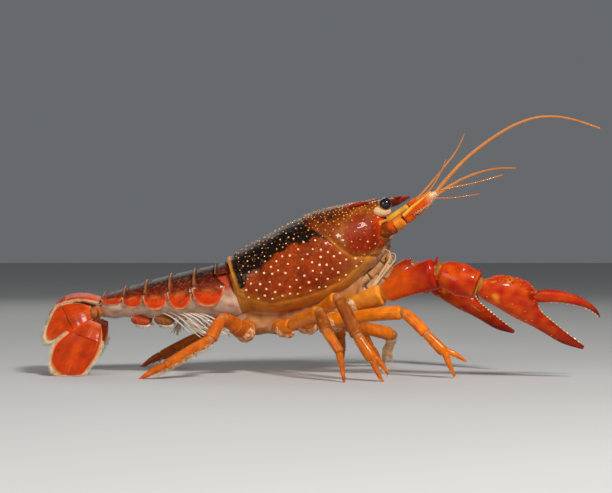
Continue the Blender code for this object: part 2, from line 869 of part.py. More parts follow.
FAN_THICKNESS = 0.8
FAN_RIB = 0.35
FAN_TIP_ROUND = 0.16
TELSON_LINE = (
    (-50.9, 0, 18.2),
    (-55.0, 0, 19.3),
    (-59.4, 0, 18.7),
    (-62.6, 0, 16.4),
    (-64.4, 0, 13.4),
)
TELSON_HALF_WIDTHS = (4.2, 5.3, 5.3, 4.7, 2.6)
ENDOPOD_LINE = (
    (-52.6, -6.2, 15.6),
    (-56.4, -8.0, 14.6),
    (-60.4, -8.9, 12.2),
    (-63.6, -9.2, 8.9),
)
ENDOPOD_HALF_WIDTHS = (1.6, 3.6, 4.2, 2.0)
EXOPOD_LINE = (
    (-51.8, -8.0, 12.8),
    (-53.9, -10.4, 9.2),
    (-56.9, -12.0, 4.6),
    (-58.8, -12.6, -0.4),
)
EXOPOD_HALF_WIDTHS = (1.6, 3.9, 5.3, 4.4)
# The tip of the left outer plate is held a little further back than the right one's.
LEFT_FAN_SHIFT = Vector((-3.0, 0, 0.6))


def blade(name, line, half_widths, across, droop, columns=9, rows=8):
    """A plate of the tail fan: an open sheet along a line, bowed across, with a raised middle rib."""
    across = Vector(across).normalized()
    fine = [Vector(p) for p in smooth_table(line, 61)]
    widths = [w[0] for w in smooth_table([(w,) for w in half_widths], rows)]
    bm = bmesh.new()
    grid = []
    for i, half in enumerate(widths):
        row = []
        for j in range(columns):
            t = -1 + 2 * j / (columns - 1)
            share = i / (rows - 1) * (1 - FAN_TIP_ROUND * t * t)
            at = min(int(60 * share), 59)
            ahead = fine[at + 1] - fine[at]
            point = fine[at] + ahead * (60 * share - at)
            normal = across.cross(ahead).normalized()
            if normal.z + abs(normal.y) * 0.4 < 0:
                normal = -normal
            rib = FAN_RIB if j == columns // 2 else 0.0
            lift = rib - droop * half * t * t
            row.append(bm.verts.new(point + across * (t * half) + normal * lift))
        grid.append(row)
    for a, b in zip(grid, grid[1:]):
        for j in range(columns - 1):
            bm.faces.new((a[j], a[j + 1], b[j + 1], b[j]))
    bmesh.ops.triangulate(bm, faces=bm.faces)
    mesh = bpy.data.meshes.new(name)
    bm.to_mesh(mesh)
    bm.free()
    return solid_sheet(mesh_object(name, mesh), FAN_THICKNESS, 0.0)


def fan_side(points, side, shift):
    """Points of the right half of the fan, or their counterparts on the left."""
    if side == RIGHT:
        return [Vector(p) for p in points]
    last = len(points) - 1
    return [Vector((x, -y, z)) + shift * (i / last) for i, (x, y, z) in enumerate(points)]


def build_tail_fan():
    blade("telson", TELSON_LINE, TELSON_HALF_WIDTHS, (0, 1, 0), 0.22)
    for side, word in ((RIGHT, "right"), (LEFT, "left")):
        root = Vector((-50.6, side * 4.6, 16.0))
        inner = blade(
            f"uropod_{word}_inner",
            fan_side(ENDOPOD_LINE, side, LEFT_FAN_SHIFT * 0.15),
            ENDOPOD_HALF_WIDTHS,
            (0.45, side * 0.34, -0.82),
            0.12,
        )
        stalk = limb(
            "protopod",
            (root, root + Vector((-1.2, side * 1.6, -1.2)), root + Vector((-2.4, side * 2.6, -0.9))),
            (1.3, 1.5, 1.0),
            start_normal=(-1, 0, 0),
        )
        join(inner.name, inner, [stalk])
        outer = blade(
            f"uropod_{word}_outer",
            fan_side(EXOPOD_LINE, side, LEFT_FAN_SHIFT),
            EXOPOD_HALF_WIDTHS,
            (0.94, side * 0.02, -0.34),
            0.08,
        )
        foot(cut_clear(outer, inner))


def build_eye(side, word, head):
    centre = Vector((EYE_PLACE.x, side * EYE_PLACE.y, EYE_PLACE.z))
    eye = ball(f"eye_{word}", centre, (EYE_RADIUS,) * 3, 8, 12)
    stalk = limb(
        "stalk",
        (centre + Vector((-0.9, -side * 1.6, -1.9)), centre + Vector((-0.2, -side * 0.5, -0.6))),
        (1.2, 1.35),
        sides=10,
    )
    cut_clear(head, join(eye.name, eye, [stalk]))


# The antenna's stout base, then its long whip: places from the root, and their radii.
PEDUNCLE_JOINTS = (
    (21.8, 7.2, 36.4),
    (24.2, 8.0, 38.2),
    (26.6, 8.0, 39.8),
    (28.6, 8.0, 41.2),
    (30.6, 8.0, 42.8),
)
PEDUNCLE_RADII = (1.7, 1.5, 1.35, 1.2, 0.95)
WHIPS = {
    "right": (
        (30.9, 8.0, 43.2),
        (32.4, 8.6, 45.4),
        (34.3, 9.4, 47.8),
        (37.9, 10.4, 51.8),
        (41.5, 11.4, 55.0),
        (46.0, 12.6, 58.3),
        (50.7, 13.8, 61.0),
        (55.5, 15.0, 62.6),
        (60.3, 16.0, 62.8),
        (65.1, 17.0, 61.8),
        (70.6, 18.0, 59.8),
    ),
    "left": (
        (30.9, 8.0, 43.2),
        (32.8, 9.6, 44.4),
        (35.4, 12.6, 46.0),
        (38.4, 16.4, 47.8),
        (42.0, 20.4, 49.6),
        (46.4, 24.4, 51.2),
        (51.0, 28.0, 52.2),
        (56.0, 31.0, 52.4),
    ),
}
WHIP_RADII = (0.62, 0.26)
WHIP_POINTS = 26
SCALE_LINE = (
    (24.0, 9.2, 38.6),
    (26.6, 9.6, 40.9),
    (29.4, 9.4, 43.0),
    (31.8, 9.0, 44.8),
)
SCALE_HALF_WIDTHS = (0.7, 1.3, 1.4, 0.3)


def on_side(points, side):
    return [(x, side * y, z) for x, y, z in points]


def build_antenna(side, word):
    base = limb(f"antenna_{word}_base", on_side(PEDUNCLE_JOINTS, side), PEDUNCLE_RADII, narrow=0.85)
    scale = limb("scale", on_side(SCALE_LINE, side), SCALE_HALF_WIDTHS, flatten=0.4, narrow=1.0)
    join(base.name, base, [scale])
    path = smooth_table(on_side(WHIPS[word], side), WHIP_POINTS)
    thick, thin = WHIP_RADII
    shares = [i / (WHIP_POINTS - 1) for i in range(WHIP_POINTS)]
    radii = [thick + (thin - thick) * share**0.6 for share in shares]
    cut_clear(wire(f"antenna_{word}_whip", path, radii), base)


ANTENNULE_ROOT = ((18.8, 1.8, 37.1), (25.4, 2.2, 41.6), (27.6, 2.3, 43.3))
ANTENNULE_TIPS = {
    "right": (
        (27.4, 2.3, 43.1),
        (30.2, 2.6, 46.2),
        (34.6, 3.0, 51.6),
        (37.4, 3.3, 55.4),
        (39.3, 3.5, 59.4),
    ),
    "left": (
        (27.4, 2.3, 43.1),
        (31.0, 2.9, 44.8),
        (36.0, 3.8, 46.2),
        (42.0, 4.8, 47.4),
        (49.8, 6.0, 49.6),
    ),
}
ANTENNULE_LOWER = {
    "right": (
        (27.2, 2.3, 42.9),
        (30.6, 3.6, 45.4),
        (33.4, 4.4, 50.0),
        (34.6, 4.8, 53.0),
    ),
    "left": (
        (27.2, 2.3, 42.9),
        (31.4, 3.6, 43.6),
        (37.0, 5.0, 43.8),
        (44.0, 6.4, 44.8),
    ),
}


def build_antennule(side, word, head):
    base = limb(f"antennule_{word}", on_side(ANTENNULE_ROOT, side), (1.1, 0.85, 0.7), sides=6, narrow=0.9)
    extras = []
    for table in (ANTENNULE_TIPS, ANTENNULE_LOWER):
        path = smooth_table(on_side(table[word], side), 12)
        extras.append(wire("branch", path, [0.36 - 0.1 * i / 11 for i in range(12)]))
    cut_clear(join(base.name, base, extras), head)


MAXILLIPED_JOINTS = (
    (12.8, 3.0, 18.2),
    (15.6, 3.4, 20.4),
    (18.9, 3.4, 23.8),
    (20.9, 3.2, 27.0),
    (20.4, 2.8, 29.6),
)
MAXILLIPED_RADII = (1.3, 1.6, 1.5, 1.1, 0.5)


def build_maxilliped(side, word, thorax, head):
    joints = on_side(MAXILLIPED_JOINTS, side)
    foot_jaw = limb(f"maxilliped_{word}", joints, MAXILLIPED_RADII, narrow=0.9)
    cut_clear(cut_clear(foot_jaw, thorax), head)


COLOURS = {
    "head": (0.45, 0.10, 0.02),
    "thorax": (0.22, 0.035, 0.012),
    "abdomen": (0.20, 0.02, 0.01),
    "cheliped": (0.72, 0.05, 0.01),
    "leg": (0.75, 0.20, 0.03),
    "eye": (0.01, 0.01, 0.012),
    "antenna": (0.72, 0.28, 0.06),
    "maxilliped": (0.55, 0.33, 0.17),
    "telson": (0.62, 0.06, 0.01),
    "uropod": (0.62, 0.06, 0.01),
}


def colour_of(name):
    for start, colour in COLOURS.items():
        if name.startswith(start):
            return colour
    return COLOURS["antenna"]


def finish_nodes():
    """Scales the model to metres, stands it over the origin and gives each node its material."""
    to_metres = Matrix.Scale(MM, 4) @ Matrix.Translation((-CENTRE_X, -CENTRE_Y, 0))
    crayfish = bpy.data.collections.new("crayfish")
    bpy.context.scene.collection.children.link(crayfish)
    for obj in list(bpy.context.scene.collection.objects):
        obj.data.transform(to_metres)
        obj.data.materials.clear()
        material = bpy.data.materials.new(obj.name)
        material.use_nodes = True
        shader = material.node_tree.nodes["Principled BSDF"]
        shader.inputs["Base Color"].default_value = (*colour_of(obj.name), 1.0)
        shader.inputs["Roughness"].default_value = 0.35
        shader.inputs["Metallic"].default_value = 0.0
        obj.data.materials.append(material)
        obj.data.shade_smooth()
        obj.data.set_sharp_from_angle(angle=math.radians(40))
        bpy.context.scene.collection.objects.unlink(obj)
        crayfish.objects.link(obj)


def main():
    for obj in list(bpy.data.objects):
        bpy.data.objects.remove(obj)
    thorax = build_thorax()
    head = build_head()
    somites = [build_somite(number) for number in range(1, 7)]
    cut_clear(cut_clear(somites[0], thorax), somites[1])
    build_tail_fan()
    for key in LEGS:
        build_leg(key)
    for key in ARMS:
        build_claw(key, build_arm(key))
    for side, word in ((RIGHT, "right"), (LEFT, "left")):
        build_eye(side, word, head)
        build_antenna(side, word)
        build_antennule(side, word, head)
        build_maxilliped(side, word, thorax, head)
    finish_nodes()


main()
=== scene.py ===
"""The looks of a red swamp crayfish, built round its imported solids.

Lengths are in millimetres until a piece is made, which turns them into metres. +X is forward, +Y is the
animal's left and the floor is at z = 0. The sizes are the ones that the solids are made from.
"""

import math
import random

import bmesh
import bpy
import numpy as np
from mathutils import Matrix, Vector

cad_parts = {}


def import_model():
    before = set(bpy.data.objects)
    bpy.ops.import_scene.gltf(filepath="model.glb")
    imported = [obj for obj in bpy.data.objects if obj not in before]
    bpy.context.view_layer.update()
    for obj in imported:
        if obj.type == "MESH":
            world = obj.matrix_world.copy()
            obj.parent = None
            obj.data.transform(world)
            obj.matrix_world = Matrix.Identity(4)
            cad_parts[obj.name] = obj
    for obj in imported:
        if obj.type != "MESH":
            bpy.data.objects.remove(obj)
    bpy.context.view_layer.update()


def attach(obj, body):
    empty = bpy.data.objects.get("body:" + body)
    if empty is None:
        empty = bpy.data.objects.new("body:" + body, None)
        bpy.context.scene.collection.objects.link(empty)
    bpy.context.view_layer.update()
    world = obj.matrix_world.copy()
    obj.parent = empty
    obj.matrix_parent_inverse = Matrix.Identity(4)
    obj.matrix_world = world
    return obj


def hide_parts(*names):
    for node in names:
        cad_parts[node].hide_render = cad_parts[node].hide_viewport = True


MM = 0.001
RIGHT, LEFT = -1, 1
SIDES = ((RIGHT, "right"), (LEFT, "left"))
UP = np.array((0.0, 0.0, 1.0))
# How much a limb's segments swell, and where their collars stand and how wide they are, as shares.
LIMB_SWELLING = 0.05
COLLAR_PLACE = (0.92, 0.05)

# The model's middle, which every piece is moved by to stand over the origin.
CENTRE = np.array((2.7, 0.1, 0.0))

# The photograph's view: level, from the animal's right, with the frame this wide at the animal.
CAMERA_DISTANCE = 450.0
CAMERA_HEIGHT = 31.5
FRAME_WIDTH = 153.0
SENSOR = 36.0

CARAPACE_REAR = np.array((-19.5, 0.0, 28.6))
CARAPACE_PITCH = math.radians(18.0)
# Along the carapace: distance from the rear edge, top, bottom, half width.
CARAPACE_STATIONS = (
    (0.0, 0.0, -11.0, 8.6),
    (2.0, 0.6, -14.0, 9.7),
    (7.0, 1.8, -16.8, 10.9),
    (13.0, 2.9, -17.7, 11.4),
    (19.6, 4.0, -17.8, 11.2),
    (25.0, 4.4, -17.0, 10.5),
    (31.0, 3.9, -14.6, 9.2),
    (36.0, 3.2, -11.6, 7.6),
    (39.4, 2.7, -8.4, 5.6),
    (40.6, 2.2, -6.6, 4.0),
)
# The cervical groove down one side, in the carapace's own axes (along, up).
CERVICAL_LINE = ((20.3, 4.2), (20.8, 1.6), (25.2, -2.7), (27.4, -6.6), (29.6, -9.4), (36.0, -11.2))
# The powers of the carapace's outline above and below its widest line, and how high up that line is.
CARAPACE_ROUNDNESS = (2.1, 2.5)
CARAPACE_WAIST = 0.46
# The carapace's lower rim (along, up).
CARAPACE_RIM = [(row[0], row[2]) for row in CARAPACE_STATIONS]
# The lower edge of the dark saddle on the thorax (along, up).
SADDLE_EDGE = ((0.0, -9.6), (4.0, -6.0), (10.0, -3.7), (16.0, -2.1), (21.0, -1.5), (27.5, -3.4))
# Along the rostrum: distance, height of its upper face, half width, half depth.
ROSTRUM_STATIONS = (
    (33.0, 2.3, 3.9, 1.1),
    (37.0, 2.3, 3.6, 1.1),
    (41.0, 2.0, 2.7, 0.9),
    (44.4, 1.4, 1.9, 0.7),
    (45.6, 1.1, 1.2, 0.5),
    (48.0, 0.7, 0.15, 0.15),
)
# Along X: the height of the sternum's middle, its half depth and half width.
STERNUM_STATIONS = (
    (-18.0, 14.0, 2.4, 3.4),
    (-14.0, 13.2, 3.4, 5.0),
    (-6.0, 13.4, 3.6, 5.0),
    (2.0, 15.2, 3.6, 5.0),
    (9.0, 18.6, 3.8, 5.0),
    (14.0, 22.0, 3.2, 4.4),
)
STERNUM_HALF_WIDTH = 5.0
# The ridge over an eye, in the carapace's own axes, and its radii at its ends and between.
BROW_RIDGE = ((29.0, 3.9, 1.8), (32.5, 4.2, 2.65), (36.0, 4.4, 2.6), (38.2, 4.5, 2.3))
BROW_RIDGE_RADII = (0.12, 0.55, 0.05)
EYE_PLACE = (19.6, 6.2, 42.0)
EYE_RADIUS = 1.55
# The eye's stalk, from its root to the eye, measured from the eye's centre.
EYE_STALK = ((-0.9, -1.7, -2.0), (-0.5, -1.0, -1.1), (-0.15, -0.4, -0.35))
# Along the front of the head, in the carapace's own axes: distance, top, bottom, half width.
MOUTH_STATIONS = (
    (30.0, -8.0, -14.0, 5.0),
    (34.0, -6.0, -13.4, 4.8),
    (37.5, -5.0, -11.2, 4.0),
    (40.4, -4.6, -8.2, 2.6),
)
MOUTH_LIMB = (
    (27.0, 1.5, -16.0), (32.0, 1.5, -15.0), (36.0, 1.4, -12.8),
    (38.6, 1.1, -10.4), (39.0, 0.8, -9.0),
)
MOUTH_LIMB_RADII = (1.5, 1.45, 1.2, 0.8)

# Where each plate of the abdomen begins and the last one ends: X and the height of its top.
TERGITE_EDGES = (
    (-19.9, 27.9),
    (-22.4, 27.0),
    (-27.8, 25.8),
    (-33.8, 24.5),
    (-39.8, 22.9),
    (-45.0, 21.4),
    (-50.2, 19.8),
)
TERGITE_HALF_WIDTHS = (8.0, 8.8, 9.2, 9.0, 8.7, 8.1, 7.0)
PLEURON_BOTTOMS = (21.0, 16.8, 16.1, 16.0, 16.5, 17.2)
PLEURON_REACH = math.radians(113.0)
PLEURON_OVERLAP = 2.5
LOBE_START = 0.62
FIRST_TERGITE_REACH = 0.55
BELLY_BOTTOM = 13.5

# Colours, as linear light.
BLACK_BROWN = (0.004, 0.002, 0.0015)
RUST = (0.29, 0.034, 0.002)
DEEP_RED = (0.14, 0.010, 0.001)
AMBER = (0.56, 0.20, 0.022)
HEAD_BROWN = (0.22, 0.036, 0.003)
CHEEK_RED = (0.21, 0.011, 0.001)
PALE_DOT = (0.90, 0.58, 0.30)
ORANGE_DOT = (0.78, 0.26, 0.04)
LOBE_ORANGE = (0.60, 0.040, 0.002)
PALE_EDGE = (0.78, 0.36, 0.14)
RIM_BROWN = (0.36, 0.13, 0.035)
BELLY = (0.50, 0.30, 0.18)
MEMBRANE = (0.60, 0.26, 0.09)
FAN_RED = (0.51, 0.040, 0.001)
FAN_DEEP = (0.34, 0.020, 0.001)
CLAW_RED = (0.37, 0.009, 0.001)
CLAW_DARK = (0.12, 0.004, 0.002)
ARM_ORANGE = (0.63, 0.075, 0.001)
ARM_YELLOW = (0.90, 0.42, 0.040)
LEG_ORANGE = (0.70, 0.150, 0.006)
LEG_BROWN = (0.28, 0.062, 0.008)
LEG_PALE = (0.90, 0.54, 0.25)
LEG_RUST = (0.54, 0.100, 0.006)
LEG_BRIGHT = (0.82, 0.19, 0.004)
FEELER = (0.66, 0.22, 0.040)
MOUTHPART = (0.60, 0.36, 0.19)
TOOTH = (0.88, 0.56, 0.22)
HAIR_PALE = (0.80, 0.66, 0.42)
HAIR_ORANGE = (0.72, 0.34, 0.10)
CROWN_BROWN = (0.15, 0.014, 0.003)
BRIGHT_DOT = (0.95, 0.55, 0.08)
ROSTRUM_DARK = (0.10, 0.016, 0.005)
EYE_BLACK = (0.006, 0.006, 0.008)
EYE_SOCKET = (0.62, 0.38, 0.17)
FLANK_DARK = (0.060, 0.006, 0.003)
FLANK_RED = (0.12, 0.010, 0.003)
FLANK_SHADE = (0.07, 0.006, 0.003)
FLANK_BROWN = (0.20, 0.060, 0.018)
BELLY_PINK = (0.66, 0.42, 0.30)
STRAND_PALE = (0.78, 0.68, 0.60)
STALK_PALE = (0.75, 0.66, 0.58)
LEAF_RED = (0.42, 0.014, 0.003)
FAN_DARK = (0.20, 0.020, 0.003)
MILKY = (0.78, 0.55, 0.36)
SPECKLE_COLOUR = (0.62, 0.24, 0.05, 1.0)
SPECULAR_TINT = (1.0, 0.62, 0.40, 1.0)
FLOOR_COLOURS = ((0.50, 0.49, 0.47, 1), (0.56, 0.55, 0.53, 1))
SKY_COLOUR = (0.80, 0.84, 0.90, 1)

# Each material: roughness, coat, grain, bump, colour variation, pit spacing, scatter and speckle.
SURFACES = {
    "carapace": (0.42, 0.13, 0.35, 0.30, 0.26, 0.7, 0.0, 0.16),
    "plates": (0.42, 0.12, 0.4, 0.30, 0.30, 0.9, 0.0, 0.12),
    "claw": (0.40, 0.18, 0.45, 0.25, 0.2, 0.8, 0.05, 0.0),
    "leg": (0.42, 0.14, 0.4, 0.25, 0.24, 0.9, 0.08, 0.0),
    "fan": (0.44, 0.12, 0.3, 0.25, 0.28, 0.0, 0.06, 0.0),
    "soft": (0.42, 0.25, 0.5, 0.3, 0.16, 0.0, 0.15, 0.0),
    "feeler": (0.38, 0.3, 0.2, 0.2, 0.14, 0.0, 0.0, 0.0),
    "eye": (0.10, 1.0, 0.1, 0.06, 0.1, 0.0, 0.0, 0.0),
    "knobs": (0.30, 0.5, 0.2, 0.08, 0.1, 0.0, 0.0, 0.0),
    "hair": (0.55, 0.0, 0.3, 0.1, 0.12, 0.0, 0.0, 0.0),
}
# The finished materials, by name.
LOOKS = {}
COAT_ROUGHNESS = 0.05
# The broad noise that varies every colour and gloss, and the part of its range that is used.
COLOUR_NOISE = {"Scale": 420.0, "Detail": 6.0, "Roughness": 0.62}
COLOUR_RANGE = {"From Min": 0.3, "From Max": 0.7}
GLOSS_SHARES = (0.7, 1.35)
# Where a speckle fades out and how deep a pit is, by the distance from its middle.
SPECKLE_RANGE = {"From Min": 0.18, "From Max": 0.34, "To Max": 0.0}
PIT_RANGE = {"From Max": 0.35, "To Max": 0.8}
SPECULAR = 0.16
SCATTER_RADIUS = (1.2 * MM, 0.45 * MM, 0.2 * MM)
SPECKLE_SPACING = 0.9
RELIEF_DEPTH = 0.12

# Each light: its name, place, size and power, in metres and watts.
LIGHTS = (
    ("key", (0.20, -0.42, 0.40), 0.12, 3.6),
    ("fill", (-0.46, -0.46, 0.16), 0.26, 1.3),
    ("back", (-0.10, 0.48, 0.34), 0.30, 0.4),
)
SKY_STRENGTH = 0.17
FLOOR_SIZE = 6.0


def smooth_table(rows, count):
    """Rows resampled at even steps of the curve through them, by Catmull-Rom."""
    table = np.array(rows, float)
    last = len(table) - 1
    place = np.linspace(0, last, count)
    i = np.minimum(place.astype(int), last - 1)
    t = (place - i)[:, None]
    before, a = table[np.maximum(i - 1, 0)], table[i]
    b, after = table[i + 1], table[np.minimum(i + 2, last)]
    return 0.5 * (
        2 * a
        + (b - before) * t
        + (2 * before - 5 * a + 4 * b - after) * t**2
        + (3 * a - before - 3 * b + after) * t**3
    )


def unit(v):
    """Vectors of length one."""
    v = np.asarray(v, float)
    return v / np.maximum(np.linalg.norm(v, axis=-1, keepdims=True), 1e-9)


def mix(a, b, share):
    """A blend of two colours for each value of share."""
    share = np.clip(np.asarray(share, float), 0, 1)[..., None]
    return np.asarray(a) * (1 - share) + np.asarray(b) * share


def step(low, high, value):
    """0 below low, 1 above high, and a smooth rise between."""
    t = np.clip((value - low) / (high - low), 0, 1)
    return t * t * (3 - 2 * t)


def peak(value, middle, width):
    """1 where the value is at the middle, falling towards 0 on both sides over about this width."""
    return np.exp(-(((value - middle) / width) ** 2))


def mottled(a, b, share, spread, size, seed):
    """Finds the colours of points: a and b blended in this share, give or take a smooth random spread."""
    return lambda points: mix(a, b, share + spread * waves(points, size, seed))


def waves(points, size, seed):
    """A smooth random field in -1 to 1, from a few sums of sines of about this wavelength."""
    rng = np.random.RandomState(seed)
    total = np.zeros(points.shape[:-1])
    for _ in range(7):
        way = unit(rng.normal(size=3)) * 2 * math.pi / (size * rng.uniform(0.6, 1.6))
        total += np.sin(points @ way + rng.uniform(0, 6.3))
    return total / 4


class Shape:
    """Surfaces in millimetres that become one piece, with a colour and a place in the coat's map."""

    def __init__(self):
        self.points, self.faces, self.tints, self.maps = [], [], [], []
        self.count = 0

    def add(self, points, faces, tint, place=None):
        """Adds a surface in one colour, or in one for each point. Bristles also have a place in the map."""
        points = np.asarray(points, float).reshape(-1, 3)
        tints = np.broadcast_to(np.asarray(tint, float), (len(points), 3))
        self.points.append(points)
        self.tints.append(tints)
        if place is not None:
            self.maps.append(np.asarray(place, float))
        self.faces += [tuple(self.count + i for i in face) for face in faces]
        self.count += len(points)

    def piece(self, name, look, slot, replaces=(), turn_out=True):
        """Makes the piece, in the material called look. turn_out turns its faces outwards."""
        points = (np.concatenate(self.points) - CENTRE) * MM
        mesh = bpy.data.meshes.new(name)
        mesh.from_pydata(points.tolist(), [], self.faces)
        tints = np.concatenate(self.tints)
        colour = mesh.color_attributes.new("tint", "FLOAT_COLOR", "POINT")
        rgba = np.concatenate([np.clip(tints, 0, 1), np.ones((len(tints), 1))], axis=1)
        colour.data.foreach_set("color", rgba.ravel())
        if self.maps:
            layer = mesh.uv_layers.new(name="OFBake")
            corners = np.empty(len(mesh.loops), np.int32)
            mesh.loops.foreach_get("vertex_index", corners)
            layer.data.foreach_set("uv", np.concatenate(self.maps)[corners].ravel())
        if turn_out:
            bm = bmesh.new()
            bm.from_mesh(mesh)
            bmesh.ops.recalc_face_normals(bm, faces=bm.faces)
            bm.to_mesh(mesh)
            bm.free()
        mesh.shade_smooth()
        mesh.materials.append(LOOKS[look])
        obj = bpy.data.objects.new(name, mesh)
        bpy.context.scene.collection.objects.link(obj)
        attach(obj, "root")
        if replaces:
            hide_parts(*replaces)


def grid_faces(rows, columns, wrap):
    """Quads between rows of points, joined round where the rows are rings."""
    faces = []
    for i in range(rows - 1):
        for j in range(columns if wrap else columns - 1):
            k = (j + 1) % columns
            faces.append((i * columns + j, i * columns + k, (i + 1) * columns + k, (i + 1) * columns + j))
    return faces


def tube(rings):
    """Points and faces of a closed body through rings, with a fan at each end."""
    rings = np.asarray(rings, float)
    rows, columns = rings.shape[:2]
    points = np.concatenate([rings.reshape(-1, 3), rings[:1].mean(1), rings[-1:].mean(1)])
    faces = grid_faces(rows, columns, True)
    first, last = rows * columns, rows * columns + 1
    for j in range(columns):
        k = (j + 1) % columns
        faces.append((first, k, j))
        faces.append((last, (rows - 1) * columns + j, (rows - 1) * columns + k))
    return points, faces


def tube_shares(rows, columns):
    """For each point of a tube: how far along it lies, and how far round from the top, from 0 to 1."""
    along = np.repeat(np.linspace(0, 1, rows), columns)
    round_it = np.tile(1 - np.abs(1 - 2 * np.arange(columns) / columns), rows)
    return np.append(along, (0, 1)), np.append(round_it, (0.5, 0.5))


def oval(count, roundness, lower):
    """Unit ring (across, up) from the top round by +across, with its own power below the middle."""
    angle = 2 * math.pi * np.arange(count) / count
    s, c = np.sin(angle), np.cos(angle)
    power = 2 / np.where(c >= 0, roundness, lower)
    return np.sign(s) * np.abs(s) ** power, np.sign(c) * np.abs(c) ** power


def sheet_body(upper, lower):
    """Points and faces of the closed body between two grids of points, joined round their edges."""
    rows, columns = upper.shape[:2]
    count = rows * columns
    faces = grid_faces(rows, columns, False)
    faces += [tuple(count + i for i in reversed(face)) for face in faces]
    loop = list(range(columns))
    loop += [i * columns + columns - 1 for i in range(1, rows)]
    loop += [(rows - 1) * columns + j for j in range(columns - 2, -1, -1)]
    loop += [i * columns for i in range(rows - 2, 0, -1)]
    faces += [(a, b, b + count, a + count) for a, b in zip(loop, loop[1:] + loop[:1])]
    return np.concatenate([upper.reshape(-1, 3), lower.reshape(-1, 3)]), faces


def add_tube(shape, rings, tint):
    """Adds a closed tube in one colour, or in the colours that tint finds for its points."""
    points, faces = tube(rings)
    shape.add(points, faces, tint(points) if callable(tint) else tint)


def swept(path, radii, sides, flatten=1.0):
    """Rings of a limb along a path. Its thickness along Y is flatten times its depth."""
    along = unit(np.gradient(path, axis=0))
    across = unit(np.cross(np.array((0.0, 1.0, 0.0)), along))
    other = np.cross(along, across)
    angle = 2 * math.pi * np.arange(sides) / sides
    c, s = np.cos(angle), np.sin(angle)
    radii = np.asarray(radii, float)[:, None, None]
    return path[:, None] + radii * (
        across[:, None] * c[None, :, None] + other[:, None] * (s * flatten)[None, :, None]
    )


def rounded(count, start, end):
    """Shares along a segment, closer together at its ends, and its end-rounding there."""
    t = 0.5 - 0.5 * np.cos(math.pi * np.linspace(0, 1, count))
    a = np.clip(t / start, 0, 1) if start else np.ones(count)
    b = np.clip((1 - t) / end, 0, 1) if end else np.ones(count)
    return t, np.sqrt(1 - (1 - a) ** 2) * np.sqrt(1 - (1 - b) ** 2)


def segment(
    shape, a, b, near, far, tint, flatten=0.86, sides=22, rings=22, bow=0, collar=0.05, start=0.1, end=0.05
):
    """A limb's hard tube from a to b, near and far being its radii there.

    Its ends are rounded over the shares start and end, a collar thickens its far rim and it swells between.
    """
    a, b = np.asarray(a, float), np.asarray(b, float)
    t, cap = rounded(rings, start, end)
    middle = np.sin(math.pi * t)
    path = a + (b - a) * t[:, None] + UP * (bow * middle)[:, None]
    radii = (near + (far - near) * t) * (1 + LIMB_SWELLING * middle + collar * peak(t, *COLLAR_PLACE))
    along, _ = tube_shares(rings, sides)
    add_tube(shape, swept(path, radii * cap, sides, flatten), lambda points: tint(points, along))


def blob(shape, centre, radii, tint, rows=12, columns=16):
    """A soft ellipsoid, for joints and swellings."""
    polar = np.linspace(0, math.pi, rows)[:, None]
    around = 2 * math.pi * np.arange(columns) / columns
    level = np.sin(polar)
    sphere = (level * np.cos(around), level * np.sin(around), np.cos(polar) * np.ones(columns))
    rings = np.stack(sphere, axis=-1) * np.asarray(radii, float)
    add_tube(shape, rings + np.asarray(centre, float), tint)


def dome(shape, spot, normal, radius, height, tint, sides=8):
    """A low round knob standing on a surface."""
    normal = unit(normal)
    side = unit(np.cross(normal, (0.31, 0.87, 0.38)))
    other = np.cross(normal, side)
    angle = 2 * math.pi * np.arange(sides) / sides
    rings = []
    for share, lift in ((1.0, -0.3), (0.9, 0.4), (0.55, 0.85)):
        circle = side * np.cos(angle)[:, None] + other * np.sin(angle)[:, None]
        rings.append(spot + circle * radius * share + normal * height * lift)
    points = np.concatenate([*rings, [spot + normal * height]])
    faces = grid_faces(3, sides, True)
    faces += [(2 * sides + j, 2 * sides + (j + 1) % sides, 3 * sides) for j in range(sides)]
    shape.add(points, faces, tint)


def thorn(shape, root, tip, radius, tint, sides=8):
    """A spine that tapers to its tip."""
    root, tip = np.asarray(root, float), np.asarray(tip, float)
    t = np.linspace(0, 1, 7)
    add_tube(shape, swept(root + (tip - root) * t[:, None], radius * (1 - t) ** 0.7 + 0.03, sides), tint)


# No bristle's tip is lower than this.
LOWEST_HAIR = 0.06
# The bristles' half thickness at their roots.
SWIMMERET_HAIR = 0.045
FAN_HAIR = 0.05
LIMB_HAIR = 0.04
SCALE_HAIR = 0.035
# Where a bristle's three edges stand round it, in radians.
HAIR_TURNS = (0.0, 2.094, 4.188)
# A bristle's faces: its root, its three sides and the three faces of its tip.
HAIR_FACES = ((2, 1, 0), (0, 1, 4, 3), (1, 2, 5, 4), (2, 0, 3, 5), (3, 4, 6), (4, 5, 6), (5, 3, 6))
# A bristle's place in the map: its root's and its middle's triangle round its tip.
PATCH_TURNS = 2 * math.pi * np.arange(3) / 3
PATCH_RING = 0.0015 * np.stack([np.cos(PATCH_TURNS), np.sin(PATCH_TURNS)], axis=1)
HAIR_PATCH = np.concatenate([PATCH_RING, PATCH_RING / 2, np.zeros((1, 2))])


def hairs(shape, roots, ways, lengths, width, tint, places):
    """Fine bristles, each a three-sided spike, on a patch of the map at its root's place."""
    for root, way, length, place in zip(roots, ways, lengths, places):
        way = unit(way)
        side = unit(np.cross(way, (0.2, 0.9, 0.4)))
        other = np.cross(way, side)
        points = []
        for share, thick in ((0.0, 1.0), (0.5, 0.75)):
            spot = root + way * length * share
            for angle in HAIR_TURNS:
                points.append(spot + (side * math.cos(angle) + other * math.sin(angle)) * width * thick)
        points.append(root + way * length)
        shape.add(points, HAIR_FACES, tint, np.asarray(place) + HAIR_PATCH)


def node_tree(name):
    material = bpy.data.materials.new(name)
    material.use_nodes = True
    return material, material.node_tree.nodes, material.node_tree.links


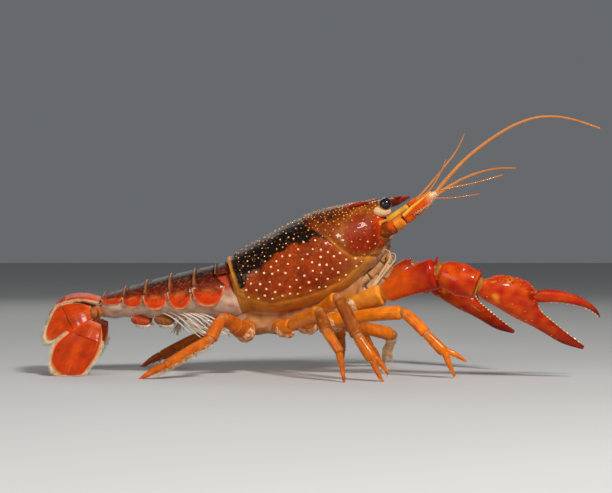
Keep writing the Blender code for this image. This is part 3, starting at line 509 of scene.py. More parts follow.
def add_node(nodes, kind, values=()):
    """A shader node of this kind, with these values set on its inputs."""
    node = nodes.new("ShaderNode" + kind)
    for name, value in dict(values).items():
        node.inputs[name].default_value = value
    return node


def add_range(nodes, links, source, values):
    """A node that maps a number from one range to another."""
    node = add_node(nodes, "MapRange", values)
    links.new(source, node.inputs["Value"])
    return node.outputs["Result"]


def surface(name, roughness, coat, grain, bump, variation, pits, scatter, speckle):
    """A shell or skin: its painted colour, varied by noise, with grain, pits and gloss.

    grain is the bump's size in millimetres, pits the spacing of the small hollows that shells have.
    """
    material, nodes, links = node_tree(name)
    shader = nodes["Principled BSDF"]
    for socket, value in (
        ("Roughness", roughness),
        ("Coat Weight", coat),
        ("Coat Roughness", COAT_ROUGHNESS),
        ("Specular IOR Level", SPECULAR),
        ("Specular Tint", SPECULAR_TINT),
        ("Subsurface Weight", scatter),
        ("Subsurface Radius", SCATTER_RADIUS),
        ("Subsurface Scale", 1.0),
    ):
        shader.inputs[socket].default_value = value
    place = add_node(nodes, "TexCoord").outputs["Object"]
    tint = add_node(nodes, "Attribute")
    tint.attribute_name = "tint"

    broad = add_node(nodes, "TexNoise", COLOUR_NOISE)
    links.new(place, broad.inputs["Vector"])
    shades = {**COLOUR_RANGE, "To Min": 1 - variation, "To Max": 1 + variation}
    varied = add_node(nodes, "VectorMath")
    varied.operation = "SCALE"
    links.new(tint.outputs["Color"], varied.inputs[0])
    links.new(add_range(nodes, links, broad.outputs["Fac"], shades), varied.inputs["Scale"])
    colour = varied.outputs["Vector"]

    if speckle:
        cells = add_node(nodes, "TexVoronoi", {"Scale": 1 / (SPECKLE_SPACING * MM)})
        links.new(place, cells.inputs["Vector"])
        spots = {**SPECKLE_RANGE, "To Min": speckle}
        lighter = add_node(nodes, "Mix")
        lighter.data_type = "RGBA"
        lighter.inputs["B"].default_value = SPECKLE_COLOUR
        links.new(add_range(nodes, links, cells.outputs["Distance"], spots), lighter.inputs["Factor"])
        links.new(colour, lighter.inputs["A"])
        colour = lighter.outputs["Result"]
    links.new(colour, shader.inputs["Base Color"])

    fine = add_node(nodes, "TexNoise", {"Scale": 1 / (grain * MM), "Detail": 4.0})
    links.new(place, fine.inputs["Vector"])
    height = fine.outputs["Fac"]
    if pits:
        hollows = add_node(nodes, "TexVoronoi", {"Scale": 1 / (pits * MM)})
        links.new(place, hollows.inputs["Vector"])
        depth = add_range(nodes, links, hollows.outputs["Distance"], PIT_RANGE)
        total = add_node(nodes, "Math")
        total.operation = "ADD"
        links.new(height, total.inputs[0])
        links.new(depth, total.inputs[1])
        height = total.outputs["Value"]
    relief = add_node(nodes, "Bump", {"Strength": bump, "Distance": RELIEF_DEPTH * MM})
    links.new(height, relief.inputs["Height"])
    links.new(relief.outputs["Normal"], shader.inputs["Normal"])
    gloss = {"To Min": roughness * GLOSS_SHARES[0], "To Max": roughness * GLOSS_SHARES[1]}
    links.new(add_range(nodes, links, broad.outputs["Fac"], gloss), shader.inputs["Roughness"])
    return material


def make_materials():
    """Fills the table of finished materials."""
    for name, numbers in SURFACES.items():
        LOOKS[name] = surface(name, *numbers)


def to_model(points):
    """Points given in the carapace's own axes (along, across, up), in the model's axes."""
    points = np.asarray(points, float)
    c, s = math.cos(CARAPACE_PITCH), math.sin(CARAPACE_PITCH)
    along, across, up = points[..., 0], points[..., 1], points[..., 2]
    return CARAPACE_REAR + np.stack([along * c - up * s, across, along * s + up * c], axis=-1)


def line_distance(points, line):
    """The distance of each point (along, up) from a line through a few points."""
    best = np.full(points.shape[:-1], 1e9)
    ends = np.array(line, float)
    for a, b in zip(ends, ends[1:]):
        t = np.clip(((points - a) @ (b - a)) / ((b - a) @ (b - a)), 0, 1)
        best = np.minimum(best, np.linalg.norm(points - a - t[..., None] * (b - a), axis=-1))
    return best


def height_on(line, along):
    """The height of a line (along, up) at each distance along."""
    ends = np.array(line, float)
    return np.interp(along, ends[:, 0], ends[:, 1])


def groove_along(up):
    """How far along the cervical groove lies at each height."""
    return np.interp(-up, [-p[1] for p in CERVICAL_LINE], [p[0] for p in CERVICAL_LINE])


class Carapace:
    """The carapace's surface, in its own axes, so that its colours and knobs can be set on it."""

    def __init__(self, rows=230, columns=240):
        table = smooth_table(CARAPACE_STATIONS, rows)
        across, up = oval(columns, *CARAPACE_ROUNDNESS)
        top, bottom, half = table[:, 1:2], table[:, 2:3], table[:, 3:4]
        middle = bottom + CARAPACE_WAIST * (top - bottom)
        raised = np.where(up >= 0, (top - middle) * up, (middle - bottom) * up)
        along = np.repeat(table[:, :1], columns, axis=1)
        self.rows, self.columns = rows, columns
        self.own = np.stack([along, half * across, middle + raised], axis=-1)
        self.normals = self.find_normals(self.own)
        self.own = self.own + self.normals * self.relief()[..., None]

    @staticmethod
    def find_normals(own):
        ahead = np.gradient(own, axis=0)
        sideways = np.roll(own, -1, axis=1) - np.roll(own, 1, axis=1)
        return unit(np.cross(ahead, sideways))

    def relief(self):
        """How far the surface stands out: grooves, raised edges and the swelling of the cheek."""
        along, across, up = np.moveaxis(self.own, -1, 0)
        flat = np.stack([along, up], axis=-1)
        groove = line_distance(flat, CERVICAL_LINE)
        lift = -0.42 * peak(groove, 0, 0.42)
        lift += 0.07 * peak(groove, 1.3, 0.9)
        behind = step(20.5, 18.5, along) * step(0.0, 1.0, up + 3.0)
        lift -= 0.16 * behind * peak(np.abs(across), 0.5, 0.22)
        lift += 0.28 * step(1.1, 0.2, along) - 0.22 * peak(along, 1.6, 0.45)
        margin = up - height_on(CARAPACE_RIM, along)
        lift -= 0.2 * peak(margin, 3.0, 0.5)
        cheek = np.hypot((along - 34.0) / 3.6, (up + 4.8) / 3.4)
        lift += 0.2 * peak(cheek, 0, 1) * (np.abs(across) > 2.0)
        lift += 0.10 * waves(self.own, 5.0, 4) + 0.04 * waves(self.own, 1.6, 9)
        return lift

    def colours(self):
        """Black saddle, rusty sides, amber edges, orange-brown head and dark red cheeks."""
        along, across, up = np.moveaxis(self.own, -1, 0)
        blotch = waves(self.own, 4.5, 1)
        fine = waves(self.own, 1.1, 2)
        groove_x = groove_along(up)
        thorax = step(groove_x + 0.4, groove_x - 0.4, along)
        side = mix(RUST, DEEP_RED, 0.40 + 0.3 * blotch + 0.25 * fine)
        low = height_on(CARAPACE_RIM, along)
        brown = 0.55 * step(24.0, 33.0, along + 0.8 * blotch) * step(-3.0, -8.0, up)
        side = mix(side, RIM_BROWN, brown)
        side = mix(side, AMBER, 0.9 * step(5.2, 1.6, up - low + 0.5 * blotch))
        side = mix(side, AMBER, 0.85 * step(2.6, 0.9, along + 0.25 * blotch))
        over = up - height_on(SADDLE_EDGE, along) + 0.9 * blotch + 0.3 * fine
        side = mix(side, BLACK_BROWN, step(-0.5, 0.5, over) * step(0.2, 1.2, along + 0.3 * blotch))
        head = mix(HEAD_BROWN, DEEP_RED, 0.25 + 0.35 * blotch)
        mottle = step(-0.2, 0.7, waves(self.own, 1.5, 15) + 0.35 * fine)
        dark = (0.45 + 0.5 * mottle) * step(-1.2, 2.4, up + 0.5 * blotch) * step(37.0, 26.0, along)
        head = mix(head, BLACK_BROWN, dark)
        cheek = np.hypot((along - 34.8) / 6.0, (up + 5.1) / 4.7) + 0.22 * blotch + 0.08 * fine
        head = mix(head, CHEEK_RED, 0.92 * step(1.2, 0.7, cheek))
        head = mix(head, LOBE_ORANGE, 0.7 * step(36.5, 39.5, along + 0.6 * blotch) * step(1.3, 0.9, cheek))
        ring = peak(cheek, 1.25, 0.14)
        head = mix(head, AMBER, 0.2 * ring)
        head = mix(head, AMBER, 0.9 * step(-8.6, -10.8, up + 0.4 * blotch))
        crown = step(1.4, 2.4, up + 0.3 * blotch) * step(31.0, 35.0, along + 0.8 * blotch)
        head = mix(head, CROWN_BROWN, 0.9 * crown)
        groove = line_distance(np.stack([along, up], axis=-1), CERVICAL_LINE)
        whole = mix(head, side, thorax)
        whole = mix(whole, AMBER, 0.5 * peak(groove, 0, 0.35) * step(0.0, -4.0, up))
        under = step(0.60, 0.45, np.abs(across) / 10.0) * step(-9.0, -11.0, up)
        return mix(whole, BELLY, 0.8 * under)

    def spot(self, i, j):
        """A place on the shell and the way out from it, in the model's axes."""
        return to_model(self.own[i, j]), self.turn(self.normals[i, j])

    @staticmethod
    def turn(way):
        return to_model(way) - CARAPACE_REAR


def build_carapace():
    shell = Carapace()
    shape = Shape()
    points, faces = tube(to_model(shell.own))
    colours = shell.colours().reshape(-1, 3)
    ends = np.stack([colours[: shell.columns].mean(0), colours[-shell.columns :].mean(0)])
    shape.add(points, faces, np.concatenate([colours, ends]))
    shape.piece("carapace", "carapace", "carapace", ("thorax", "head"))
    build_dots(shell)


# How many places on the shell are tried for a raised dot.
DOT_TRIES = 9000


def build_dots(shell):
    """Raised dots: pale ones well apart on the sides, small orange ones on the saddle and the head."""
    rng = random.Random(11)
    shape = Shape()
    taken = []
    for _ in range(DOT_TRIES):
        i, j = rng.randrange(6, shell.rows - 14), rng.randrange(shell.columns)
        along, across, up = shell.own[i, j]
        low = float(height_on(CARAPACE_RIM, along))
        if up - low < 3.4 or along < 2.2:
            continue
        on_thorax = along < groove_along(up) - 0.5
        dark = up > height_on(SADDLE_EDGE, along)
        if on_thorax and not dark:
            apart, radius, tint = 1.7, rng.uniform(0.25, 0.37), PALE_DOT
        elif on_thorax:
            apart, radius = 1.2, rng.uniform(0.14, 0.26)
            tint = mix(ORANGE_DOT, PALE_DOT, rng.random() * 0.7)
        else:
            on_top = up > 0.5
            apart = 0.8 if on_top else 1.7
            radius = rng.uniform(0.12, 0.2) if on_top else rng.uniform(0.12, 0.28)
            tint = mix(ORANGE_DOT, BRIGHT_DOT, rng.random())
            if not on_top and abs(across) < 2.5:
                continue
        spot, normal = shell.spot(i, j)
        if any((spot - other) @ (spot - other) < apart**2 for other in taken):
            continue
        taken.append(spot)
        dome(shape, spot, normal, radius, 0.6 * radius, tint)
    shape.piece("carapace_dots", "knobs", "carapace", turn_out=False)


def build_rostrum():
    """The spike between the eyes: a trough with raised edges and spines, and the ridges over the eyes."""
    rows, shape = 60, Shape()
    lateral = np.linspace(-1, 1, 25)
    trough = 0.25 + 0.75 * peak(np.abs(lateral), 0.88, 0.14) - 0.35 * (1 - lateral**2)
    below = np.linspace(1, -1, 17)[1:-1]
    rings = []
    for along, top, half, depth in smooth_table(ROSTRUM_STATIONS, rows):
        top -= 0.9 * step(37.5, 33.0, along)
        upper = [(along, y * half, top + depth * 0.45 * h) for y, h in zip(lateral, trough)]
        lower = [(along, y * half, top - depth * (0.9 + 1.9 * (1 - y * y))) for y in below]
        rings.append(upper + lower)
    share, _ = tube_shares(rows, 40)
    redder = step(0.3, 0.9, share) * 0.9
    add_tube(shape, to_model(rings), mottled(ROSTRUM_DARK, CHEEK_RED, redder, 0.3, 2.0, 3))
    ridge = smooth_table(BROW_RIDGE, 24)
    radii = np.interp(np.linspace(0, 1, 24), (0, 0.55, 1), BROW_RIDGE_RADII)
    for side in (RIGHT, LEFT):
        thorn(shape, to_model((43.4, side * 1.4, 1.3)), to_model((46.0, side * 2.0, 1.3)), 0.42, CHEEK_RED)
        brow = swept(to_model(ridge * (1, side, 1)), radii, 16)
        add_tube(shape, brow, mottled(CHEEK_RED, CLAW_RED, 0.3, 0.4, 1.8, 3))
        thorn(shape, to_model((37.0, side * 5.6, -3.4)), to_model((41.0, side * 6.2, -3.2)), 0.8, AMBER, 12)
    shape.piece("rostrum", "carapace", "carapace")


def build_eyes():
    """Black balls on pale stalks, each in a pale socket."""
    for side, word in SIDES:
        centre = on_side(EYE_PLACE, side)
        ball, stalk = Shape(), Shape()
        blob(ball, centre, (EYE_RADIUS,) * 3, EYE_BLACK, 28, 36)
        ball.piece(f"eye_{word}_ball", "eye", "eye", (f"eye_{word}",))
        rings = swept(smooth_table(centre + on_side(EYE_STALK, side), 12), np.linspace(1.25, 1.52, 12), 24)
        add_tube(stalk, rings, mottled(EYE_SOCKET, AMBER, 0.3, 0.3, 1.2, 6))
        foot = centre + on_side((-0.8, -0.75, -1.8), side)
        blob(stalk, foot, (2.25, 1.35, 1.4), mix(EYE_SOCKET, PALE_DOT, 0.3), 14, 22)
        stalk.piece(f"eye_{word}_stalk", "soft", "eye")


def build_underside():
    """The sternum between the legs and the front of the head under the rostrum."""
    shape, rings = Shape(), []
    across, up = oval(40, 4.0, 4.0)
    for x, z, depth, half in smooth_table(STERNUM_STATIONS, 70):
        keel = 1 + 0.07 * math.cos(2 * math.pi * x / 6.3)
        rings.append(np.stack([np.full(40, x), half * across, z + depth * keel * up], axis=1))

    def tint(points):
        brown = mix(mix(BELLY, AMBER, 0.5), RIM_BROWN, 0.55 + 0.5 * waves(points, 2.4, 5))
        return mix(brown, HEAD_BROWN, 0.6 * step(0.0, 0.8, waves(points, 1.6, 19)))

    add_tube(shape, rings, tint)
    shape.piece("sternum", "soft", "carapace")

    mouth, rings = Shape(), []
    for along, top, bottom, half in smooth_table(MOUTH_STATIONS, 30):
        middle, reach = (top + bottom) / 2, (top - bottom) / 2
        rings.append(to_model(np.stack([np.full(40, along), half * across, middle + reach * up], axis=1)))
    add_tube(mouth, rings, mottled(BELLY, HEAD_BROWN, 0.4, 0.5, 2.2, 8))
    for side in (RIGHT, LEFT):
        joints = to_model(on_side(MOUTH_LIMB, side))
        for i, radius in enumerate(MOUTH_LIMB_RADII):
            tone = banded(mix(MOUTHPART, AMBER, 0.2 + 0.15 * i), MEMBRANE, PALE_EDGE, 230 + i)
            segment(mouth, joints[i], joints[i + 1], radius, radius * 0.85, tone, 0.8)
        cheek = to_model((37.6, side * 4.2, -6.0))
        blob(mouth, cheek, (3.0, 2.2, 2.2), mix(HEAD_BROWN, AMBER, 0.5), 20, 26)
        blob(mouth, to_model((40.0, side * 4.0, -7.2)), (0.8, 0.7, 0.7), PALE_DOT, 10, 14)
    mouth.piece("mouth", "carapace", "carapace")


def tergite_edges(number):
    """The plate's two edges, each as X, the height of its top, half width and the height of its lobes."""
    (x0, z0), (x1, z1) = TERGITE_EDGES[number - 1], TERGITE_EDGES[number]
    bottom = PLEURON_BOTTOMS[number - 1]
    front = np.array((x0 - 0.1, z0, TERGITE_HALF_WIDTHS[number - 1], bottom))
    rear = np.array((x1 - 0.25, z1, TERGITE_HALF_WIDTHS[number], bottom))
    return front, rear


def build_tergite(number):
    """A plate arched over the back, its rear edge raised, with a rounded lobe hanging at each side."""
    front, rear = tergite_edges(number)
    rows, columns = 44, 150
    widest = FIRST_TERGITE_REACH if number == 1 else 1.0
    t = widest * np.linspace(-1, 1, columns)[:, None]
    out = np.abs(t)
    lobe = np.clip((out - LOBE_START) / (1 - LOBE_START), 0, 1)
    spread = np.sqrt(1 - (lobe * 0.985) ** 2)
    share = 0.5 + (np.linspace(0, 1, rows)[None, :] - 0.5) * spread
    edge = front + (rear - front) * share[..., None]
    x, top, half, bottom = np.moveaxis(edge, -1, 0)
    angle = t * PLEURON_REACH
    height = (top - bottom) / (1 - math.cos(PLEURON_REACH))
    rim = peak(share, 0.93, 0.055) * step(0.72, 0.5, out)
    lift = 0.34 * rim - 0.22 * peak(share, 0.80, 0.05) * step(0.7, 0.5, out)
    lift = lift - 0.30 * step(0.14, 0.0, share) + 0.10 * peak(out, 0.68, 0.08) * step(0.1, 0.3, share)
    border = np.minimum(1 - lobe, 1.0) * np.minimum(share, 1 - share) * 2
    lift = lift + np.where(lobe > 0, 0.16 * peak(border, 0, 0.10), 0.0)
    raised = top - height + (height + lift) * np.cos(angle)
    points = np.stack([x, (half + lift) * np.sin(angle), raised], axis=-1)
    overlap = PLEURON_OVERLAP * np.clip((out - 0.42) / 0.2, 0, 1) if number == 2 else 0.0
    lean = (front[1] - points[..., 2]) * math.tan(CARAPACE_PITCH) if number == 1 else 0.0
    points[..., 0] += (1 - share) * (overlap + lean)

    blotch, fine = waves(points, 3.2, number), waves(points, 0.9, number + 20)
    down = out + 0.035 * blotch
    tint = mix(BLACK_BROWN, FLANK_DARK, step(0.30, 0.46, down) + 0.25 * fine)
    tint = mix(tint, FLANK_RED, step(0.44, 0.60, down))
    tint = mix(tint, LOBE_ORANGE, step(0.62, 0.86, down + 0.05 * fine))
    shade = 0.6 * step(0.1, 0.7, waves(points, 1.3, number + 40)) * step(0.86, 0.6, down)
    tint = mix(tint, FLANK_SHADE, shade)
    brown = step(0.1, 0.8, waves(points, 1.2, number + 60)) * step(0.22, 0.36, down)
    tint = mix(tint, FLANK_BROWN, 0.5 * (brown * step(0.84, 0.66, down)))
    tint = mix(tint, RIM_BROWN, 0.85 * rim * step(0.66, 0.5, out))
    tint = mix(tint, PALE_EDGE, np.where(lobe > 0.05, peak(border, 0, 0.07), 0.0))
    amber = np.hypot((share - 0.5) / 0.2, (out - 0.72) / 0.05)
    tints = mix(tint, AMBER, 0.25 * peak(amber, 0, 1)).reshape(-1, 3)

    inner = points.copy()
    inner[..., 1] *= 1 - 0.55 / half
    inner[..., 2] -= 0.45 * np.cos(angle)
    body, faces = sheet_body(points, inner)
    shape = Shape()
    shape.add(body, faces, np.concatenate([tints, mix(tints, BELLY, np.full(len(tints), 0.5))]))
    return shape


LAST_STRAND_PAIR = 3
# For each pair of swimmerets: how far its blades swing forward on the right and left, and its length.
SWIMMERETS = {
    1: (2.6, 2.6, 3.5),
    2: (4.6, 1.6, 7.0),
    3: (5.4, -1.2, 7.0),
    4: (-1.2, -2.0, 4.0),
    5: (-1.6, -2.4, 3.5),
}


def build_belly():
    """The soft body inside the plates, and a plug of it under the carapace's rear edge."""
    core, rings = Shape(), []
    across, up = oval(48, 2.1, 2.2)
    for number in range(1, 7):
        front, rear = tergite_edges(number)
        for share in np.linspace(0, 1, 8, endpoint=number == 6):
            x, top, half, _ = front + (rear - front) * share
            middle = 18.0 + 0.25 * (top - 22.0)
            ridge = 0.35 * peak(share, 0.5, 0.22)
            raised = np.where(up >= 0, (top - 0.6 - middle), (middle - BELLY_BOTTOM - 0.3 + ridge))
            lean = math.tan(CARAPACE_PITCH) * (1 - share) if number == 1 else 0.0
            z = middle + raised * up
            rings.append(np.stack([x + lean * (top - z), (half - 0.65) * across, z], axis=1))

    def tint(points):
        colour = mix(BELLY, BELLY_PINK, 0.5 + 0.4 * waves(points, 2.6, 7))
        colour = mix(colour, DEEP_RED, 0.4 * step(0.2, 0.9, waves(points * (1, 1, 3), 3.0, 12)))
        flank = step(19.6, 21.2, points[:, 2] + 0.4 * waves(points, 2.0, 3))
        colour = mix(colour, mix(LOBE_ORANGE, DEEP_RED, 0.5), 0.95 * flank)
        end = step(-47.8, -49.2, points[:, 0]) * step(15.0, 18.5, points[:, 2])
        return mix(colour, FAN_DEEP, 0.85 * end)

    add_tube(core, rings, tint)
    plug = [rings[0] + np.array((reach, 0, 0.28 * reach)) for reach in (5.0, 2.5)]
    add_tube(core, plug + rings[:1], mottled(AMBER, RIM_BROWN, 0.5, 0.4, 2.6, 17))
    core.piece("belly", "soft", "abdomen_shell")


def build_abdomen():
    rng = random.Random(5)
    for number in range(1, 7):
        plate = build_tergite(number)
        plate.piece(f"tergite_{number}", "plates", "abdomen_shell", (f"abdomen_{number}",))
    build_belly()
    limbs, fringe = Shape(), Shape()
    for number, (right_swing, left_swing, length) in SWIMMERETS.items():
        front, rear = tergite_edges(number)
        for side, swing in ((RIGHT, right_swing), (LEFT, left_swing)):
            root = np.array(((front[0] + rear[0]) / 2, side * 3.6, BELLY_BOTTOM + 1.2))
            swimmeret(limbs, fringe, root, side, swing, length, number, rng)
    pale = mix(BELLY, STRAND_PALE, 0.6)
    for side in (RIGHT, LEFT):
        for k in range(8):
            start = np.array((-37.0 + 1.5 * k, side * 5.9, BELLY_BOTTOM + 2.4 - 0.1 * k))
            ahead, outward = 7.4 + rng.uniform(-1.5, 1.2), side * rng.uniform(-1.0, 0.2)
            end = start + np.array((ahead, outward, -2.6 - rng.uniform(0, 3.2)))
            middle = (start + end) / 2 + np.array((0, side * 0.7, 0.9))
            line = smooth_table((start, middle, end), 20)
            add_tube(limbs, swept(line, np.linspace(0.24, 0.12, 20), 8), pale)
    limbs.piece("swimmerets", "soft", "abdomen_shell")
    fringe.piece("swimmeret_fringe", "hair", "abdomen_shell", turn_out=False)


def swimmeret(shape, fringe, root, side, swing, length, number, rng):
    """A stalk with two blades: pale strands that hang, or on the rear pairs red leaves along the belly."""
    leafy = number > LAST_STRAND_PAIR
    bend = root + np.array((swing * 0.25, side * 0.9, -1.0 if leafy else -2.1))
    pale = mix(BELLY, STALK_PALE, 0.5)
    red = LEAF_RED if number == 5 else mix(DEEP_RED, RIM_BROWN, 0.3)
    tint = mottled(red, RIM_BROWN, 0.3, 0.4, 1.0, 5) if leafy else pale
    segment(shape, root, bend, 0.62, 0.5, lambda points, along: pale, sides=14, rings=10)
    t = np.linspace(0, 1, 16)
    width = (1.15 if leafy else 0.36) * (0.35 + 0.75 * np.sin(math.pi * (0.12 + 0.76 * t)))
    for spread in (-0.8, 0.9):
        start = bend + np.array((0, side * spread * 0.35, 0.4))
        if leafy:
            end = bend + np.array((3.4 + spread, side * spread * 0.9, -0.7))
        else:
            end = bend + np.array((swing, side * spread * 1.1, -0.4 * length))
        path = smooth_table((start, (start + end) / 2 + np.array((-0.2, 0, -0.15)), end), 16)
        add_tube(shape, swept(path, width, 16, 0.35), tint)
        for k in range(0 if leafy else 5):
            sway = np.array((0.9 * (k - 2), side * spread * 0.5 * (k - 2), 0.3 * k - rng.uniform(0, 1)))
            line = smooth_table((start + sway * 0.25, path[8] + sway * 0.6, end + sway), 14)
            add_tube(shape, swept(line, np.linspace(0.2, 0.07, 14), 8), mix(pale, HAIR_PALE, 0.3))
        count = 70 if leafy else 40
        low = np.array((0, 0, -0.9 if leafy else 0.0))
        roots = [path[-1 - k % 11] + low * width[-1 - k % 11] for k in range(count)]
        lean = unit(path[-1] - path[-4]) * (0.4 if leafy else 1.0) + low
        ways = []
        for _ in roots:
            sway = [rng.uniform(-1, 1), rng.uniform(-0.5, 0.5), rng.uniform(-1, 0.3)]
            ways.append(lean + 0.5 * np.array(sway))
        places = [(0.1 + 0.13 * number + 0.001 * k, 0.3 + 0.2 * side) for k in range(count)]
        lengths = [rng.uniform(0.7, 1.3) for _ in roots]
        hairs(fringe, roots, ways, lengths, SWIMMERET_HAIR, HAIR_PALE, places)


FAN_RIB = 0.22
FAN_TIP_ROUND = 0.16
TELSON_LINE = (
    (-50.9, 0, 18.2), (-55.0, 0, 19.3), (-59.4, 0, 18.7),
    (-62.6, 0, 16.4), (-64.4, 0, 13.4),
)
TELSON_HALF_WIDTHS = (4.2, 5.3, 5.3, 4.7, 2.6)
ENDOPOD_LINE = ((-52.6, -6.2, 15.6), (-56.4, -8.0, 14.6), (-60.4, -8.9, 12.2), (-63.6, -9.2, 8.9))
ENDOPOD_HALF_WIDTHS = (1.6, 3.6, 4.2, 2.0)
EXOPOD_LINE = ((-51.8, -8.0, 12.8), (-53.9, -10.4, 9.2), (-56.9, -12.0, 4.6), (-58.8, -12.6, -0.4))
EXOPOD_HALF_WIDTHS = (1.6, 3.9, 5.3, 4.4)
LEFT_FAN_SHIFT = np.array((-3.0, 0, 0.6))


def fan_side(points, side, shift):
    """Points of the right half of the fan, or their counterparts on the left."""
    points = np.array(points, float)
    if side == RIGHT:
        return points
    share = np.linspace(0, 1, len(points))[:, None]
    return points * (1, -1, 1) + share * shift


def blade(shape, fringe, line, half_widths, across, droop, deep, seed, suture=None):
    """A plate of the tail fan: bowed, ribbed, thin at its edge, with a dense pale fringe round its end."""
    rows, columns = 64, 61
    across = unit(across)
    steps = 240
    fine = smooth_table(line, steps + 1)
    halves = smooth_table([(w,) for w in half_widths], rows)[:, 0]
    t = np.linspace(-1, 1, columns)
    to_end = 1 - np.linspace(0, 1, rows)[:, None]
    share = np.linspace(0, 1, rows)[:, None] * (1 - FAN_TIP_ROUND * t[None, :] ** 2)
    at = np.minimum((steps * share).astype(int), steps - 1)
    ahead = fine[at + 1] - fine[at]
    spine = fine[at] + ahead * (steps * share - at)[..., None]
    normal = unit(np.cross(across, ahead))
    flip = normal[..., 2] + 0.4 * np.abs(normal[..., 1]) < 0
    normal[flip] *= -1
    rib = FAN_RIB * peak(t, 0, 0.11) * step(1.0, 0.6, share)
    rib = rib + 0.12 * peak(np.abs(t), 0.9, 0.06)
    rib = rib + 0.035 * np.sin(t * 26.0) * step(0.5, 0.95, share) + 0.06 * waves(spine + across, 1.8, seed)
    if suture:
        rib = rib - 0.07 * step(suture, suture + 0.09, share + 0.05 * waves(spine + across, 2.5, seed))
    lift = rib - droop * halves[:, None] * t**2
    sheet = spine + across * (t * halves[:, None])[..., None] + normal * lift[..., None]
    edge = np.minimum(1 - np.abs(t)[None, :], 1.0) * np.ones((rows, 1))
    thick = 0.36 * step(0.0, 0.25, edge) * step(0.0, 0.12, to_end) + 0.06
    upper, lower = sheet + normal * thick[..., None], sheet - normal * thick[..., None]
    lower[..., 2] = np.maximum(lower[..., 2], 0.0)
    upper[..., 2] = np.maximum(upper[..., 2], 0.02)

    tint = mix(FAN_RED, FAN_DEEP, deep + 0.25 * waves(sheet, 3.5, seed))
    tint = mix(tint, FAN_DEEP, 0.6 * peak(np.abs(t), 0.42, 0.2) * step(0.9, 0.5, share))
    dark = step(0.15, 0.8, waves(sheet, 2.2, seed + 3)) * step(0.25, 0.6, share)
    tint = mix(tint, FAN_DARK, 0.45 * dark)
    tint = mix(tint, ARM_ORANGE, 0.35 * peak(t, 0, 0.2) + 0.4 * step(0.35, 0.0, share))
    tint = mix(tint, PALE_EDGE, 0.8 * step(0.13, 0.0, edge) + 0.7 * step(0.10, 0.0, to_end))
    tints = mix(tint, BELLY, 0.35 * step(0.14, 0.0, share)).reshape(-1, 3)
    points, faces = sheet_body(upper, lower)
    shape.add(points, faces, np.concatenate([tints, tints]))

    rng = random.Random(seed)
    roots, ways, lengths, places = [], [], [], []
    border = [(i, 0) for i in range(rows // 3, rows)] + [(i, columns - 1) for i in range(rows // 3, rows)]
    border += [(rows - 1, j) for j in range(columns)]
    for i, j in border:
        on_flank = i < rows - 1
        out = across * t[j] * (0.9 if on_flank else 0.45) + unit(ahead[i, j]) * (0.35 if on_flank else 1.0)
        for _ in range(4):
            jitter = np.array([rng.uniform(-1, 1) for _ in range(3)])
            root = sheet[i, j] + jitter * 0.12
            way = unit(out) + jitter * 0.22
            length = (0.95 if on_flank else 1.5) * rng.uniform(0.7, 1.15)
            tip = root + unit(way) * length
            if root[2] < 0.1 or tip[2] < LOWEST_HAIR:
                way = np.array((way[0], way[1], 0.02))
                root = np.array((root[0], root[1], max(root[2], 0.12)))
            roots.append(root)
            ways.append(way)
            lengths.append(length)
            places.append((0.05 + 0.9 * i / rows, 0.05 + 0.9 * j / columns))
    hairs(fringe, roots, ways, lengths, FAN_HAIR, HAIR_PALE, places)


def build_fan():
    """The tail fan: the telson, and an inner and an outer blade on each side of it."""
    telson, fringe = Shape(), Shape()
    blade(telson, fringe, TELSON_LINE, TELSON_HALF_WIDTHS, (0, 1, 0), 0.22, 0.1, 31, suture=0.62)
    for side in (RIGHT, LEFT):
        thorn(telson, (-59.0, side * 4.9, 18.2), (-60.9, side * 5.5, 17.0), 0.3, ARM_ORANGE)
    telson.piece("telson_plate", "fan", "tail_fan", ("telson",))
    for side, word in SIDES:
        inner, outer = Shape(), Shape()
        line = fan_side(ENDOPOD_LINE, side, LEFT_FAN_SHIFT * 0.15)
        across = (0.45, side * 0.34, -0.82)
        blade(inner, fringe, line, ENDOPOD_HALF_WIDTHS, across, 0.12, 0.25, 33 + side)
        root = np.array((-50.6, side * 4.6, 16.0))
        knee, end = root + np.array((-1.4, side * 1.7, -1.0)), root + np.array((-2.6, side * 2.7, -0.9))
        tint = banded(mix(RIM_BROWN, FAN_DEEP, 0.3), AMBER, MEMBRANE, 240, 1.2)
        segment(inner, root, knee, 1.3, 1.6, tint, 1.0, start=0.2, end=0.2)
        segment(inner, knee, end, 1.5, 1.1, tint, 1.0, start=0.2, end=0.3)
        inner.piece(f"uropod_{word}_inner_plate", "fan", "tail_fan", (f"uropod_{word}_inner",))
        line = fan_side(EXOPOD_LINE, side, LEFT_FAN_SHIFT)
        across = (0.94, side * 0.02, -0.34)
        blade(outer, fringe, line, EXOPOD_HALF_WIDTHS, across, 0.08, 0.55, 37 + side, suture=0.7)
        outer.piece(f"uropod_{word}_outer_plate", "fan", "tail_fan", (f"uropod_{word}_outer",))
    fringe.piece("fan_fringe", "hair", "tail_fan", turn_out=False)


